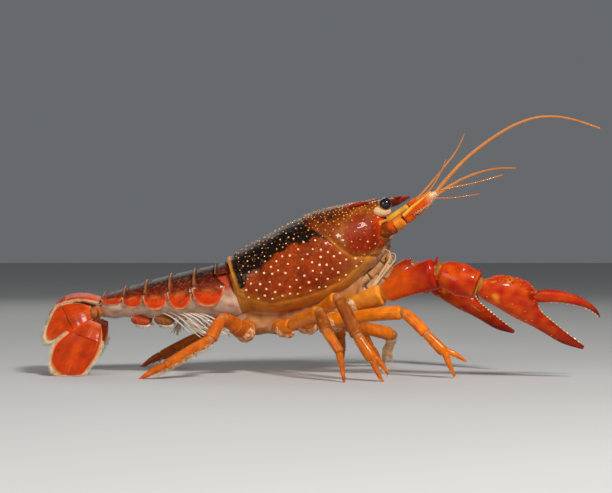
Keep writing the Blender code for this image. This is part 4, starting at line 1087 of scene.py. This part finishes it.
# For each walking leg: its root on the sternum, the end of the coxa, the knee, the wrist, the base of the
# finger and the tip.
LEGS = {
    "right_2": (
        (5.2, 13.4), (6.6, -9.4, 13.5), (23.6, -16.0, 15.6), (28.9, -19.0, 10.5),
        (33.5, -20.2, 5.9), (35.5, -21.0, 0.5),
    ),
    "right_3": (
        (-0.9, 12.6), (-0.3, -9.6, 12.4), (7.6, -24.0, 19.3), (12.2, -29.0, 10.3),
        (15.8, -30.4, 4.8), (18.0, -31.0, -0.2),
    ),
    "right_4": (
        (-7.0, 12.0), (-5.6, -9.6, 11.4), (3.2, -25.4, 16.0), (4.8, -28.8, 11.6),
        (7.9, -31.4, 6.8), (8.9, -32.8, -0.2),
    ),
    "right_5": (
        (-14.0, 12.0), (-14.9, -9.8, 10.7), (-20.3, -16.8, 14.1), (-22.9, -20.2, 9.2),
        (-33.6, -22.0, 2.9), (-39.6, -22.4, -0.2),
    ),
    "left_2": (
        (5.2, 13.4), (7.6, 9.4, 12.0), (22.4, 16.4, 8.6), (22.2, 20.6, 6.4),
        (21.2, 25.4, 3.6), (20.6, 29.4, -0.2),
    ),
    "left_3": (
        (-0.9, 12.6), (0.6, 9.6, 12.2), (13.4, 22.6, 13.6), (15.4, 28.4, 7.8),
        (17.2, 31.4, 3.8), (18.6, 33.0, -0.2),
    ),
    "left_4": (
        (-7.0, 12.0), (-5.6, 9.6, 11.4), (7.9, 23.0, 12.8), (9.2, 28.0, 7.4),
        (9.6, 30.6, 3.6), (9.8, 32.0, -0.2),
    ),
    "left_5": (
        (-14.0, 12.0), (-14.9, 9.8, 10.7), (-22.4, 16.0, 13.4), (-27.0, 19.6, 8.4),
        (-38.0, 22.0, 2.8), (-43.3, 22.6, -0.2),
    ),
}
# Each leg's radii at its root, hip, knee, wrist and the base of its finger.
LEG_RADII = {
    "2": (1.9, 1.9, 1.7, 1.35, 1.35),
    "3": (1.9, 1.9, 1.75, 1.6, 1.4),
    "4": (1.9, 1.8, 1.6, 1.5, 1.05),
    "5": (2.0, 2.3, 1.6, 1.6, 1.3),
}
# A limb's thickness where a joint begins, as a share of its thickness beyond.
JOINT_SHARE = 0.76
# How far a leg's hip reaches from the coxa towards the knee.
HIP_LENGTH = 4.2
# A lower leg's thickness at its wrist, as a share of the shin's end.
PALM_SHARE = 0.8
# How far the legs' small pincers open, and which way.
PINCER_GAPE = {"right_2": 0.85}
PINCER_WAY = np.array((0.92, 0.0, 0.38))
PINCER_REST = 0.3
# Each leg's upper and lower colours.
LEG_TINTS = {
    "right_2": (LEG_BRIGHT, LEG_ORANGE),
    "right_3": (LEG_BRIGHT, LEG_BROWN),
    "right_4": (LEG_BRIGHT, LEG_BROWN),
    "right_5": (LEG_RUST, LEG_RUST),
    "left_2": (LEG_ORANGE, LEG_PALE),
    "left_3": (LEG_ORANGE, LEG_ORANGE),
    "left_4": (LEG_ORANGE, LEG_ORANGE),
    "left_5": (LEG_RUST, LEG_RUST),
}


def banded(base, near, far, seed, size=2.0):
    """A limb segment's colour: its base tone mottled, paler at the near end and by the far joint."""

    def tint(points, along):
        colour = mix(base, DEEP_RED, 0.10 + 0.22 * waves(points, size, seed))
        colour = mix(colour, AMBER, 0.45 * step(0.1, 0.9, waves(points, 1.2, seed + 9)))
        colour = mix(colour, near, 0.6 * step(0.22, 0.0, along))
        return mix(colour, far, 0.6 * step(0.86, 1.0, along))

    return tint


def patchy(base, seed):
    """The colour of a hip joint: shell with milky patches."""

    def tint(points):
        milky = step(-0.1, 0.7, np.sin(7 * waves(points, 2.4, seed)))
        shell = mix(base, AMBER, 0.4 + 0.3 * waves(points, 2.5, seed + 1))
        return mix(shell, MILKY, 0.85 * milky)

    return tint


def toward(a, b, length):
    """The point this far from a on the way to b."""
    a, b = np.asarray(a, float), np.asarray(b, float)
    return a + unit(b - a) * length


def build_leg(key, fringe):
    side = RIGHT if key.startswith("right") else LEFT
    number = key[-1]
    (root_x, root_z), *rest = LEGS[key]
    coxa, knee, wrist, finger, tip = [np.array(p, float) for p in rest]
    radii = LEG_RADII[number]
    root = np.array((root_x, side * (STERNUM_HALF_WIDTH - 0.6), root_z))
    upper_tint, lower_tint = LEG_TINTS[key]
    seed = 50 + sum(map(ord, key))
    upper, lower = Shape(), Shape()
    hip_ball = coxa + np.array((0, -side * 1.2, -0.2))
    blob(upper, hip_ball, radii[1] * np.array((1.08, 1.5, 1.12)), patchy(upper_tint, seed), 26, 34)
    lobe = hip_ball + np.array((-1.3, -side * 0.6, 0.5)) * (1 if number in "25" else -1)
    blob(upper, lobe, radii[1] * np.array((0.9, 1.1, 0.95)), patchy(upper_tint, seed + 7), 22, 28)
    tone = banded(mix(upper_tint, AMBER, 0.4), BELLY, MEMBRANE, seed)
    segment(upper, root, coxa, radii[0] * 0.9, radii[1] * 0.95, tone)
    hip = toward(coxa, knee, HIP_LENGTH)
    tone = banded(upper_tint, PALE_EDGE, MEMBRANE, seed + 1)
    segment(upper, toward(coxa, knee, -0.9), hip, radii[1] * 0.92, radii[1] * 0.84, tone)
    tone = banded(upper_tint, PALE_EDGE, ARM_ORANGE, seed + 2)
    thigh = toward(hip, knee, -0.5)
    segment(upper, thigh, knee, radii[1] * JOINT_SHARE, radii[2], tone, rings=34, bow=0.25, end=0.10)
    blob(upper, knee, (JOINT_SHARE * radii[2],) * 3, mix(LEG_BROWN, MEMBRANE, 0.35))
    upper.piece(f"leg_{key}_upper_limb", "leg", "leg_shell", (f"leg_{key}_upper",))

    tone = banded(lower_tint, mix(lower_tint, MEMBRANE, 0.5), AMBER, seed + 3)
    shin = toward(knee, wrist, -0.3)
    segment(lower, shin, wrist, radii[2] * JOINT_SHARE, radii[3], tone, bow=0.22, start=0.14, end=0.08)
    ankle_tint = mix(mix(LEG_BROWN, lower_tint, 0.5), MEMBRANE, 0.35)
    blob(lower, wrist, (JOINT_SHARE * radii[3],) * 3, ankle_tint)
    hand = mix(lower_tint, LEG_ORANGE, 0.65) if lower_tint is LEG_BROWN else lower_tint
    palm = toward(wrist, finger, -0.3)
    if number in "23":
        tone = banded(hand, MEMBRANE, hand, seed + 4)
        palm_end = toward(finger, tip, 0.3)
        near, far = radii[3] * PALM_SHARE, radii[4] * 1.04
        segment(lower, palm, palm_end, near, far, tone, rings=30, collar=0.0, end=0.3)
        down = unit(tip - finger)
        aim = unit(down + PINCER_WAY * PINCER_GAPE.get(key, PINCER_REST))
        start = finger + (wrist - finger) * 0.12 + PINCER_WAY * 0.5
        end = start + aim * np.linalg.norm(tip - finger) * 0.95
        pincer(lower, finger - down * 1.0, tip, 0.95, hand, seed + 5, PINCER_WAY * -0.25)
        pincer(lower, start - aim * 0.5, end, 0.85, hand, seed + 6, PINCER_WAY * 0.3)
        bristles(fringe, finger, tip, 0.5, 70, 0.8, seed)
        bristles(fringe, start, end, 0.45, 70, 0.8, seed + 1)
        bristles(fringe, wrist, finger, radii[4], 60, 0.6, seed + 2)
    else:
        tone = banded(hand, MEMBRANE, AMBER, seed + 4)
        segment(lower, palm, finger, radii[3] * PALM_SHARE, radii[4], tone, rings=34, bow=0.15, collar=0.0)
        pincer(lower, toward(finger, wrist, 0.6), tip, radii[4] * 0.92, hand, seed + 5, (0, 0, 0.35))
        count, length = (420, 1.5) if number == "5" else (110, 0.7)
        bristles(fringe, wrist, finger, radii[4] * 1.05, count, length, seed)
        bristles(fringe, finger, tip, radii[4] * 0.8, count // 2, length, seed + 1)
    for points in lower.points:
        points[:, 2] = np.maximum(points[:, 2], 0.0)
    lower.piece(f"leg_{key}_lower_limb", "leg", "leg_shell", (f"leg_{key}_lower",))


def pincer(shape, root, tip, radius, base, seed, bend):
    """A finger or claw: tapering, bowed, with a dark horny tip."""
    root, tip = np.asarray(root, float), np.asarray(tip, float)
    rings, sides = 26, 18
    t, cap = rounded(rings, 0.2, 0.0)
    path = root + (tip - root) * t[:, None] + np.asarray(bend, float) * np.sin(math.pi * t)[:, None]
    radii = (radius * (1 - 0.72 * t**1.3)) * cap
    along, _ = tube_shares(rings, sides)

    def tint(points):
        shade = mix(base, DEEP_RED, 0.15 + 0.25 * waves(points, 1.6, seed))
        return mix(shade, RIM_BROWN, step(0.84, 1.0, along))

    add_tube(shape, swept(path, radii, sides, 0.86), tint)


def bristles(fringe, a, b, radius, count, length, seed):
    """Rows of short bristles under a limb, leaning towards its tip."""
    rng = random.Random(seed)
    a, b = np.asarray(a, float), np.asarray(b, float)
    along = unit(b - a)
    side = unit(np.cross(along, UP))
    down = unit(np.cross(side, along))
    down = down if down[2] < 0 else -down
    roots, ways, lengths, places = [], [], [], []
    for _ in range(count):
        share = rng.random()
        lean = rng.uniform(-1.3, 1.3)
        out = unit(down * math.cos(lean) + side * math.sin(lean))
        root = a + (b - a) * share + out * radius * (1 - 0.35 * share)
        way = unit(out + along * 0.9)
        reach = length * rng.uniform(0.5, 1.0)
        if (root + way * reach)[2] < LOWEST_HAIR:
            continue
        roots.append(root)
        ways.append(way)
        lengths.append(reach)
        places.append((0.05 + 0.9 * share, 0.5 + 0.3 * lean / 1.3))
    hairs(fringe, roots, ways, lengths, LIMB_HAIR, mix(HAIR_ORANGE, HAIR_PALE, 0.6), places)


ARMS = {
    "right": (
        (10.6, 18.2), (12.6, -9.0, 17.4), (17.8, -12.2, 19.6), (32.0, -20.0, 25.4),
        (40.6, -23.0, 22.2), (25.9, 3.0, -14.5),
    ),
    "left": (
        (10.6, 18.2), (13.4, 8.8, 17.9), (19.2, 11.2, 21.0), (27.6, 14.0, 25.2),
        (32.4, 20.4, 22.0), (19.0, -18.4, -11.0),
    ),
}
# The power of the claw's outline.
CLAW_ROUNDNESS = 2.2
UPPER_ARM_RADII = (2.8, 3.8)
CARPUS_RADII = (2.9, 3.3, 4.05, 3.5, 3.0)
# The spines on top of the arm: how far back from the elbow, and how high.
ARM_SPINES = ((1.4, 3.0), (4.4, 2.8), (7.2, 2.5))
# Along the claw from the wrist: distance, the two edges across it, half thickness.
PALM_STATIONS = (
    (0.9, -1.7, 2.4, 2.0),
    (3.0, -2.2, 4.1, 2.7),
    (6.2, -2.2, 5.7, 3.2),
    (10.6, -2.3, 6.4, 3.1),
    (13.4, -2.2, 4.9, 2.6),
    (16.0, -2.0, 2.4, 1.9),
    (20.0, -2.0, 1.4, 1.35),
    (25.0, -2.0, 0.6, 0.95),
    (29.8, -0.9, 0.0, 0.4),
)
# Along the movable finger: distance from the wrist, its middle across the claw, half width, half thickness.
FINGER_STATIONS = (
    (12.9, 4.6, 1.5, 1.7),
    (15.2, 5.7, 1.75, 1.5),
    (18.2, 7.2, 1.5, 1.2),
    (21.6, 8.3, 1.2, 1.0),
    (25.4, 8.9, 0.8, 0.75),
    (27.9, 8.6, 0.5, 0.5),
    (29.4, 7.9, 0.2, 0.2),
)


def claw_axes(key):
    """The claw's own axes: along it, across it towards the movable finger, and through its thickness."""
    along = unit(ARMS[key][5])
    through = np.array((0.0, 1.0, 0.0)) if key == "right" else np.array((0.62, 0.78, 0.0))
    through = unit(through - along * (through @ along))
    across = np.cross(along, through)
    return along, across if across[2] > 0 else -across, through


def claw_point(key, a, b, c):
    """The point at these distances along the claw, across it and through it."""
    along, across, through = claw_axes(key)
    a, b, c = (np.asarray(v, float)[..., None] for v in (a, b, c))
    return np.array(ARMS[key][4]) + along * a + across * b + through * c


def build_arm(key):
    """The claw's arm: a hip, a flat toothed upper arm and its hinge."""
    side = RIGHT if key == "right" else LEFT
    (root_x, root_z), *rest, _ = ARMS[key]
    coxa, ischium, elbow, wrist = [np.array(p, float) for p in rest]
    seed = 90 + side
    arm = Shape()
    root = np.array((root_x, side * (STERNUM_HALF_WIDTH - 0.6), root_z))
    blob(arm, coxa + np.array((-0.6, -side * 1.2, -0.3)), (2.4, 2.6, 2.3), patchy(AMBER, seed), 26, 34)
    segment(arm, root, coxa, 2.1, 2.2, banded(AMBER, BELLY, MEMBRANE, seed), 0.9)
    tone = banded(mix(ARM_YELLOW, ARM_ORANGE, 0.5), AMBER, ARM_YELLOW, seed + 1)
    segment(arm, toward(coxa, ischium, -1.2), toward(ischium, elbow, 0.9), 2.0, 2.7, tone, 0.68, collar=0.0)

    rows, sides = 48, 32
    t, cap = rounded(rows, 0.12, 0.05)
    path = smooth_table((ischium, (ischium + elbow) / 2 + np.array((0, 0, 0.35)), elbow), rows)
    near, far = UPPER_ARM_RADII
    radii = (near * 0.92 + (far - near * 0.92) * t) * cap
    radii = radii * (1 + 0.02 * peak(t, 0.95, 0.03))
    share, _ = tube_shares(rows, sides)

    def tint(points):
        red = mix(ARM_ORANGE, CLAW_RED, step(0.3, 0.95, share + 0.12 * waves(points, 3.0, seed)))
        return mix(red, ARM_YELLOW, 0.75 * step(0.25, 0.0, share))

    add_tube(arm, swept(path, radii, sides, 0.66), tint)
    run = unit(elbow - ischium)
    for back, up in ARM_SPINES:
        base = elbow - run * back
        thorn(arm, base + UP * (up - 0.6), base + run * 0.9 + UP * (up + 1.1), 0.5, CLAW_RED)
    for back in np.arange(1.4, 11.5, 1.15):
        base = elbow - run * back
        low = 3.0 - 0.09 * back
        for level in (-0.6, 0.6):
            spot = base + np.array((0, level, 0.45 - low))
            thorn(arm, spot, spot + run * 0.5 + np.array((0, level * 0.5, -1.1)), 0.32, CLAW_RED)

    def hinge_tint(points):
        dark = mix(CLAW_DARK, AMBER, 0.4)
        return mix(dark, PALE_EDGE, step(0.2, 0.7, waves(points, 1.2, seed)))

    blob(arm, toward(elbow, wrist, 0.2), (2.0, 1.8, 2.5), hinge_tint, 16, 22)
    arm.piece(f"cheliped_{key}_arm_limb", "claw", "claw_shell", (f"cheliped_{key}_arm",))
    build_carpus(key, elbow, wrist, seed)


def build_carpus(key, elbow, wrist, seed):
    """The swollen joint between the arm and the claw, with its yellow rim, spines and knobs."""
    rows, sides, half_way = 48, 36, 24
    carpus = Shape()
    t, cap = rounded(rows, 0.10, 0.04)
    start, end = toward(elbow, wrist, -0.9), claw_point(key, 0.8, 0.1, 0.0)
    path = smooth_table((start, elbow + (wrist - elbow) * 0.55, end), rows)
    radii = np.interp(t, (0, 0.15, 0.5, 0.85, 1.0), CARPUS_RADII) * cap
    radii = radii * (1 + 0.05 * peak(t, 0.93, 0.03))
    points, faces = tube(swept(path, radii, sides, 0.8))
    middle = path[half_way]
    dent = peak(points[:, 2] - middle[2], 2.2, 0.6) * peak(points[:, 0], middle[0], 2.6)
    points[:, 1] -= np.sign(points[:, 1] - middle[1]) * 0.35 * dent
    share, _ = tube_shares(rows, sides)
    tint = mix(CLAW_RED, ARM_ORANGE, 0.45 + 0.4 * waves(points, 3.4, seed + 2))
    tint = mix(tint, CLAW_DARK, 0.8 * peak(share, 0.9, 0.025))
    tint = mix(tint, ARM_YELLOW, 0.9 * step(0.91, 0.94, share))
    carpus.add(points, faces, tint)
    crest = elbow + (wrist - elbow) * 0.75 + UP * 3.2
    thorn(carpus, crest - np.array((2.2, 0, 1.3)), crest + np.array((3.5, 0, -0.5)), 1.5, CLAW_RED, 18)
    thorn(carpus, crest + np.array((-3.4, 0, -0.4)), crest + np.array((-2.8, 0, 1.0)), 0.45, CLAW_RED, 10)
    rng = random.Random(seed)
    for _ in range(60):
        i, j = rng.randrange(10, 40), rng.randrange(sides)
        spot = points[i * sides + j]
        normal = spot - path[i]
        if normal[2] > 0.4:
            dome(carpus, spot, normal, rng.uniform(0.16, 0.3), 0.2, mix(CLAW_RED, ARM_ORANGE, 0.4))
    blob(carpus, claw_point(key, 0.6, 0.3, 0.0), (1.5, 1.6, 2.2), mix(CLAW_DARK, AMBER, 0.5), 16, 22)
    carpus.piece(f"cheliped_{key}_wrist_limb", "claw", "claw_shell", (f"cheliped_{key}_wrist",))


def claw_body(key, table, low, high, seed, tip_dark):
    """Points, faces and colours of a palm or finger. low and high are the edges across it."""
    sides = 44
    across, up = oval(sides, CLAW_ROUNDNESS, CLAW_ROUNDNESS)
    middle, half = (low + high)[:, None] / 2, (high - low)[:, None] / 2
    a = np.repeat(table[:, :1], sides, axis=1)
    points, faces = tube(claw_point(key, a, middle + half * up, table[:, 3:4] * across))
    share, round_it = tube_shares(len(table), sides)
    along = np.append(a.ravel(), (a[0, 0], a[-1, 0]))
    tint = mix(CLAW_RED, ARM_ORANGE, 0.30 + 0.4 * waves(points, 3.2, seed))
    yellow = 0.45 * step(0.4, 0.95, waves(points, 4.0, seed + 9)) * step(11.0, 7.0, along)
    tint = mix(tint, ARM_YELLOW, yellow)
    tint = mix(tint, ARM_ORANGE, 0.6 * step(0.55, 0.95, round_it) * step(24.0, 14.0, along))
    knuckle = peak(along, 12.8, 1.7) * step(0.75, 0.2, round_it)
    tint = mix(tint, CLAW_DARK, 0.9 * knuckle * (0.7 + 0.4 * waves(points, 1.6, seed + 5)))
    return points, faces, mix(tint, CLAW_DARK, tip_dark * step(0.48, 0.95, share))


def build_claw(key):
    """The claw's palm with its fixed finger, and the movable finger, each with knobs and teeth."""
    seed = 140 if key == "right" else 150
    palm, finger = Shape(), Shape()
    table = smooth_table(PALM_STATIONS, 90)
    palm.add(*claw_body(key, table, table[:, 1], table[:, 2], seed, 0.75))
    rng = random.Random(seed)
    _, across_way, through_way = claw_axes(key)

    def knob(a, bottom, top, thick, angle, radius, height, colour):
        c, b = math.sin(angle), math.cos(angle)
        middle, half = (bottom + top) / 2, (top - bottom) / 2
        b_out, c_out = (math.copysign(abs(v) ** (2 / CLAW_ROUNDNESS), v) for v in (b, c))
        spot = claw_point(key, a, middle + half * b_out, thick * c_out)
        dome(palm, spot, across_way * b + through_way * c, radius, height, colour)

    close_rows = smooth_table(PALM_STATIONS, 150)
    crest = [row for row in close_rows if 2.4 < row[0] < 13.6]
    for i, row in enumerate(crest[::4]):
        for angle in (-0.75, -0.3, 0.12, 0.5):
            turn = angle + (0.15 if i % 2 else -0.05) + rng.uniform(-0.05, 0.05)
            size = rng.uniform(0.26, 0.42)
            knob(*row, turn, size, size * 1.2, mix(CLAW_RED, ARM_ORANGE, rng.uniform(0.2, 0.9)))
    for row in table:
        if 2.0 < row[0] < 26.0 and rng.random() < 0.8:
            colour = mix(ARM_ORANGE, ARM_YELLOW, rng.random() * 0.6)
            knob(*row, rng.uniform(0, 2 * math.pi), 0.15, 0.11, colour)
    for row in [r for r in close_rows if 15.2 < r[0] < 28.6][::4]:
        size = rng.uniform(0.18, 0.34)
        dome(palm, claw_point(key, row[0], row[2] - 0.1, 0), across_way, size, size * 1.15, TOOTH, 10)
    palm.piece(f"cheliped_{key}_palm", "claw", "claw_shell", (f"cheliped_{key}_claw",))

    table = smooth_table(FINGER_STATIONS, 64)
    table[:, 0] += 0.2
    centre, half = table[:, 1], table[:, 2]
    finger.add(*claw_body(key, table, centre - half, centre + half, seed + 2, 0.9))
    for row in table[14:60:4]:
        size = rng.uniform(0.22, 0.36)
        spot = claw_point(key, row[0], row[1] - row[2] + 0.05, 0)
        dome(finger, spot, -across_way, size, size * 1.2, TOOTH, 10)
    for row in table[6:40:2]:
        spot = claw_point(key, row[0], row[1] + row[2] - 0.05, rng.uniform(-0.4, 0.4))
        dome(finger, spot, across_way, 0.24, 0.26, mix(CLAW_RED, CLAW_DARK, 0.5))
    blob(finger, claw_point(key, 13.0, 4.4, 0.0), (1.3, 1.3, 1.3), mix(MEMBRANE, CLAW_RED, 0.4), 14, 18)
    finger.piece(f"cheliped_{key}_thumb", "claw", "claw_shell", (f"cheliped_{key}_finger",))


PEDUNCLE_JOINTS = (
    (21.8, 7.2, 36.4), (24.2, 8.0, 38.2), (26.6, 8.0, 39.8),
    (28.6, 8.0, 41.2), (30.6, 8.0, 42.8),
)
PEDUNCLE_RADII = (1.7, 1.5, 1.35, 1.2, 0.95)
PEDUNCLE_TINTS = (
    mix(ARM_ORANGE, ARM_YELLOW, 0.35),
    ARM_ORANGE,
    mix(ARM_ORANGE, AMBER, 0.4),
    mix(ARM_ORANGE, ARM_YELLOW, 0.5),
)
WHIPS = {
    "right": (
        (30.9, 8.0, 43.2), (32.4, 8.6, 45.4), (34.3, 9.4, 47.8), (37.9, 10.4, 51.8),
        (41.5, 11.4, 55.0), (46.0, 12.6, 58.3), (50.7, 13.8, 61.0), (55.5, 15.0, 62.6),
        (60.3, 16.0, 62.8), (65.1, 17.0, 61.8), (70.6, 18.0, 59.8),
    ),
    "left": (
        (30.9, 8.0, 43.2), (32.8, 9.6, 44.4), (35.4, 12.6, 46.0), (38.4, 16.4, 47.8),
        (42.0, 20.4, 49.6), (46.4, 24.4, 51.2), (51.0, 28.0, 52.2), (56.0, 31.0, 52.4),
    ),
}
WHIP_RADII = (0.62, 0.24)
SCALE_LINE = ((24.0, 9.2, 38.6), (26.6, 9.6, 40.9), (29.4, 9.4, 43.0), (31.8, 9.0, 44.8))
SCALE_HALF_WIDTHS = (0.7, 1.3, 1.4, 0.3)
ANTENNULE_ROOT = ((18.8, 1.8, 37.1), (25.4, 2.2, 41.6), (27.6, 2.3, 43.3))
ANTENNULE_TIPS = {
    "right": (
        (27.4, 2.3, 43.1), (30.2, 2.6, 46.2), (34.6, 3.0, 51.6), (37.4, 3.3, 55.4),
        (39.3, 3.5, 59.4),
    ),
    "left": ((27.4, 2.3, 43.1), (31.0, 2.9, 44.8), (36.0, 3.8, 46.2), (42.0, 4.8, 47.4), (49.8, 6.0, 49.6)),
}
ANTENNULE_LOWER = {
    "right": (
        (27.2, 2.3, 42.9), (30.6, 3.6, 45.4), (33.4, 4.4, 50.0), (34.6, 4.8, 53.0),
    ),
    "left": ((27.2, 2.3, 42.9), (31.4, 3.6, 43.6), (37.0, 5.0, 43.8), (44.0, 6.4, 44.8)),
}
MAXILLIPED_JOINTS = (
    (12.8, 3.0, 18.2), (15.6, 3.4, 20.4), (18.9, 3.4, 23.8),
    (20.9, 3.2, 27.0), (20.4, 2.8, 29.6),
)
MAXILLIPED_RADII = (1.3, 1.6, 1.5, 1.1, 0.5)
MAXILLIPED_STRAND = (
    (15.4, 5.4, 19.8),
    (17.6, 6.0, 23.4),
    (19.6, 6.0, 26.6),
    (20.8, 5.6, 28.8),
    (20.4, 5.2, 30.4),
    (19.0, 5.0, 30.8),
)


def on_side(points, side):
    """Points given for the left side, on this side."""
    return np.array(points, float) * (1, side, 1)


def ringed(shape, path, thick, thin, tint, beads):
    """A feeler: a thin tube of many short rings, tapering to its tip."""
    rows, sides = beads * 4 + 1, 10
    t = np.linspace(0, 1, rows)
    radii = (thick + (thin - thick) * t**0.6) * (1 + 0.05 * np.cos(2 * math.pi * beads * t))
    share, _ = tube_shares(rows, sides)
    band = 0.5 + 0.5 * np.cos(2 * math.pi * beads * share)
    colours = mix(mix(tint, RIM_BROWN, 0.22 * band), RIM_BROWN, 0.55 * share)
    add_tube(shape, swept(smooth_table(path, rows), radii, sides), colours)


def build_feeler_base(side, word, fringe):
    """The thick joints of a feeler, and its scale with a fringe under it."""
    base = Shape()
    joints, radii = on_side(PEDUNCLE_JOINTS, side), PEDUNCLE_RADII
    for i, tint in enumerate(PEDUNCLE_TINTS):
        tone = banded(tint, MEMBRANE, AMBER, 200 + i)
        near, far = radii[i] * 0.94, radii[i + 1]
        segment(base, joints[i], joints[i + 1], near, far, tone, 1.0, start=0.18, end=0.14)
    inward = joints[0] - np.array((3.2, side * 2.4, 1.4))
    segment(base, inward, joints[0], 1.7, 1.6, banded(HEAD_BROWN, HEAD_BROWN, ARM_ORANGE, 198), 1.0)
    knuckle = joints[0] + np.array((-0.6, 0, -0.1))
    blob(base, knuckle, (1.7, 1.35, 1.5), mix(CHEEK_RED, ARM_ORANGE, 0.7), 16, 22)
    rows = 40
    path = smooth_table(on_side(SCALE_LINE, side), rows)
    widths = 0.85 * smooth_table([(w,) for w in SCALE_HALF_WIDTHS], rows)[:, 0]
    share, _ = tube_shares(rows, 20)
    tint = mix(mix(ARM_ORANGE, CLAW_RED, 0.35), PALE_DOT, 0.8 * step(0.55, 1.0, share))
    add_tube(base, swept(path, widths, 20, 0.32), tint)
    rod = path[:34] + np.array((-0.35, side * 0.25, 0.75)) * np.linspace(0.5, 1, 34)[:, None]
    rings = swept(rod, np.linspace(0.5, 0.22, 34), 12)
    add_tube(base, rings, mottled(ARM_YELLOW, ARM_ORANGE, 0.25, 0.2, 1.0, 2))
    base.piece(f"antenna_{word}_root", "leg", "antenna", (f"antenna_{word}_base",))
    rng = random.Random(7)
    down = np.array((0.35, side * 0.1, -0.9))
    roots = [path[k] + down * widths[k] * 0.7 for k in range(10, rows) for _ in range(4)]
    ways = []
    for _ in roots:
        sway = (rng.uniform(-0.2, 0.2), rng.uniform(-0.3, 0.3), rng.uniform(-0.2, 0.2))
        ways.append(down + np.array((0.7 + sway[0], *sway[1:])))
    places = [(0.1 + 0.006 * (k % 120), 0.3 + 0.1 * side) for k in range(len(roots))]
    lengths = [rng.uniform(0.7, 1.3) for _ in roots]
    hairs(fringe, roots, ways, lengths, SCALE_HAIR, HAIR_PALE, places)


def build_feelers():
    """The long feelers on their bases and scales, and the two short pairs between them."""
    fringe = Shape()
    for side, word in SIDES:
        build_feeler_base(side, word, fringe)
        whip = Shape()
        ringed(whip, on_side(WHIPS[word], side), *WHIP_RADII, FEELER, 90)
        whip.piece(f"antenna_{word}_feeler", "feeler", "antenna", (f"antenna_{word}_whip",))
        small = Shape()
        root = on_side(ANTENNULE_ROOT, side)
        segment(small, root[0], root[1], 0.78, 0.66, banded(ARM_YELLOW, AMBER, ARM_ORANGE, 210), 1.0)
        segment(small, root[1], root[2], 0.64, 0.56, banded(ARM_ORANGE, MEMBRANE, MEMBRANE, 211), 1.0)
        ringed(small, on_side(ANTENNULE_TIPS[word], side), 0.34, 0.16, FEELER, 50)
        ringed(small, on_side(ANTENNULE_LOWER[word], side), 0.30, 0.14, FEELER, 40)
        small.piece(f"antennule_{word}_feelers", "feeler", "antenna", (f"antennule_{word}",))
    fringe.piece("antenna_scale_fringe", "hair", "antenna", turn_out=False)


def build_maxillipeds():
    """The jointed mouth limbs that hang in front, each with bristles and two loose strands."""
    fringe = Shape()
    for side, word in SIDES:
        jaw = Shape()
        joints, radii = on_side(MAXILLIPED_JOINTS, side), MAXILLIPED_RADII
        for i in range(4):
            tone = banded(mix(MOUTHPART, AMBER, 0.25 + 0.1 * i), MEMBRANE, PALE_EDGE, 220 + i)
            near, far = radii[i] * 0.95, radii[i + 1]
            segment(jaw, joints[i], joints[i + 1], near, far, tone, 0.8, start=0.16, end=0.12)
        strand = on_side(MAXILLIPED_STRAND, side)
        for k in range(2):
            sway = np.linspace(0, 1, 6)[:, None] * np.array((1.9 * k, side * 0.4 * k, -1.0 * k))
            ringed(jaw, strand + sway, 0.36 - 0.06 * k, 0.12, mix(BELLY, HAIR_PALE, 0.6), 24)
        jaw.piece(f"maxilliped_{word}_jaw", "soft", "mouthpart", (f"maxilliped_{word}",))
        bristles(fringe, joints[1], joints[4], 1.1, 120, 1.3, 230 + side)
    fringe.piece("maxilliped_bristles", "hair", "mouthpart", turn_out=False)


def build_stage():
    """A pale floor, soft lights and the camera at the photograph's place."""
    material, nodes, links = node_tree("floor")
    nodes["Principled BSDF"].inputs["Roughness"].default_value = 0.75
    noise = add_node(nodes, "TexNoise", {"Scale": 60.0})
    ramp = add_node(nodes, "ValToRGB")
    for element, colour in zip(ramp.color_ramp.elements, FLOOR_COLOURS):
        element.color = colour
    links.new(noise.outputs["Fac"], ramp.inputs["Fac"])
    links.new(ramp.outputs["Color"], nodes["Principled BSDF"].inputs["Base Color"])
    bpy.ops.mesh.primitive_plane_add(size=FLOOR_SIZE, location=(0, 0, 0))
    floor = bpy.context.object
    floor.name = "floor"
    floor.data.materials.append(material)

    world = bpy.data.worlds.new("studio")
    world.use_nodes = True
    background = world.node_tree.nodes["Background"]
    background.inputs["Color"].default_value = SKY_COLOUR
    background.inputs["Strength"].default_value = SKY_STRENGTH
    bpy.context.scene.world = world
    bpy.context.scene.view_settings.view_transform = "Standard"
    for name, place, size, power in LIGHTS:
        light = bpy.data.lights.new(name, "AREA")
        light.size = size
        light.energy = power
        lamp = bpy.data.objects.new(name, light)
        lamp.location = place
        aim = Vector((0, 0, 0.02)) - lamp.location
        lamp.rotation_euler = aim.to_track_quat("-Z", "Y").to_euler()
        bpy.context.scene.collection.objects.link(lamp)

    camera = bpy.data.objects.new("camera", bpy.data.cameras.new("camera"))
    camera.data.sensor_width = SENSOR
    camera.data.lens = SENSOR * CAMERA_DISTANCE / FRAME_WIDTH
    camera.data.clip_start = 0.01
    x, y, _ = (np.array((0.0, -CAMERA_DISTANCE, 0.0)) - CENTRE) * MM
    camera.location = (x, y, CAMERA_HEIGHT * MM)
    camera.rotation_euler = (math.pi / 2, 0, 0)
    bpy.context.scene.collection.objects.link(camera)
    bpy.context.scene.camera = camera


def main():
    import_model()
    make_materials()
    build_stage()
    build_carapace()
    build_rostrum()
    build_eyes()
    build_underside()
    build_abdomen()
    build_fan()
    fringe = Shape()
    for key in LEGS:
        build_leg(key, fringe)
    fringe.piece("leg_bristles", "hair", "leg_shell", turn_out=False)
    for key in ARMS:
        build_arm(key)
        build_claw(key)
    build_feelers()
    build_maxillipeds()


main()
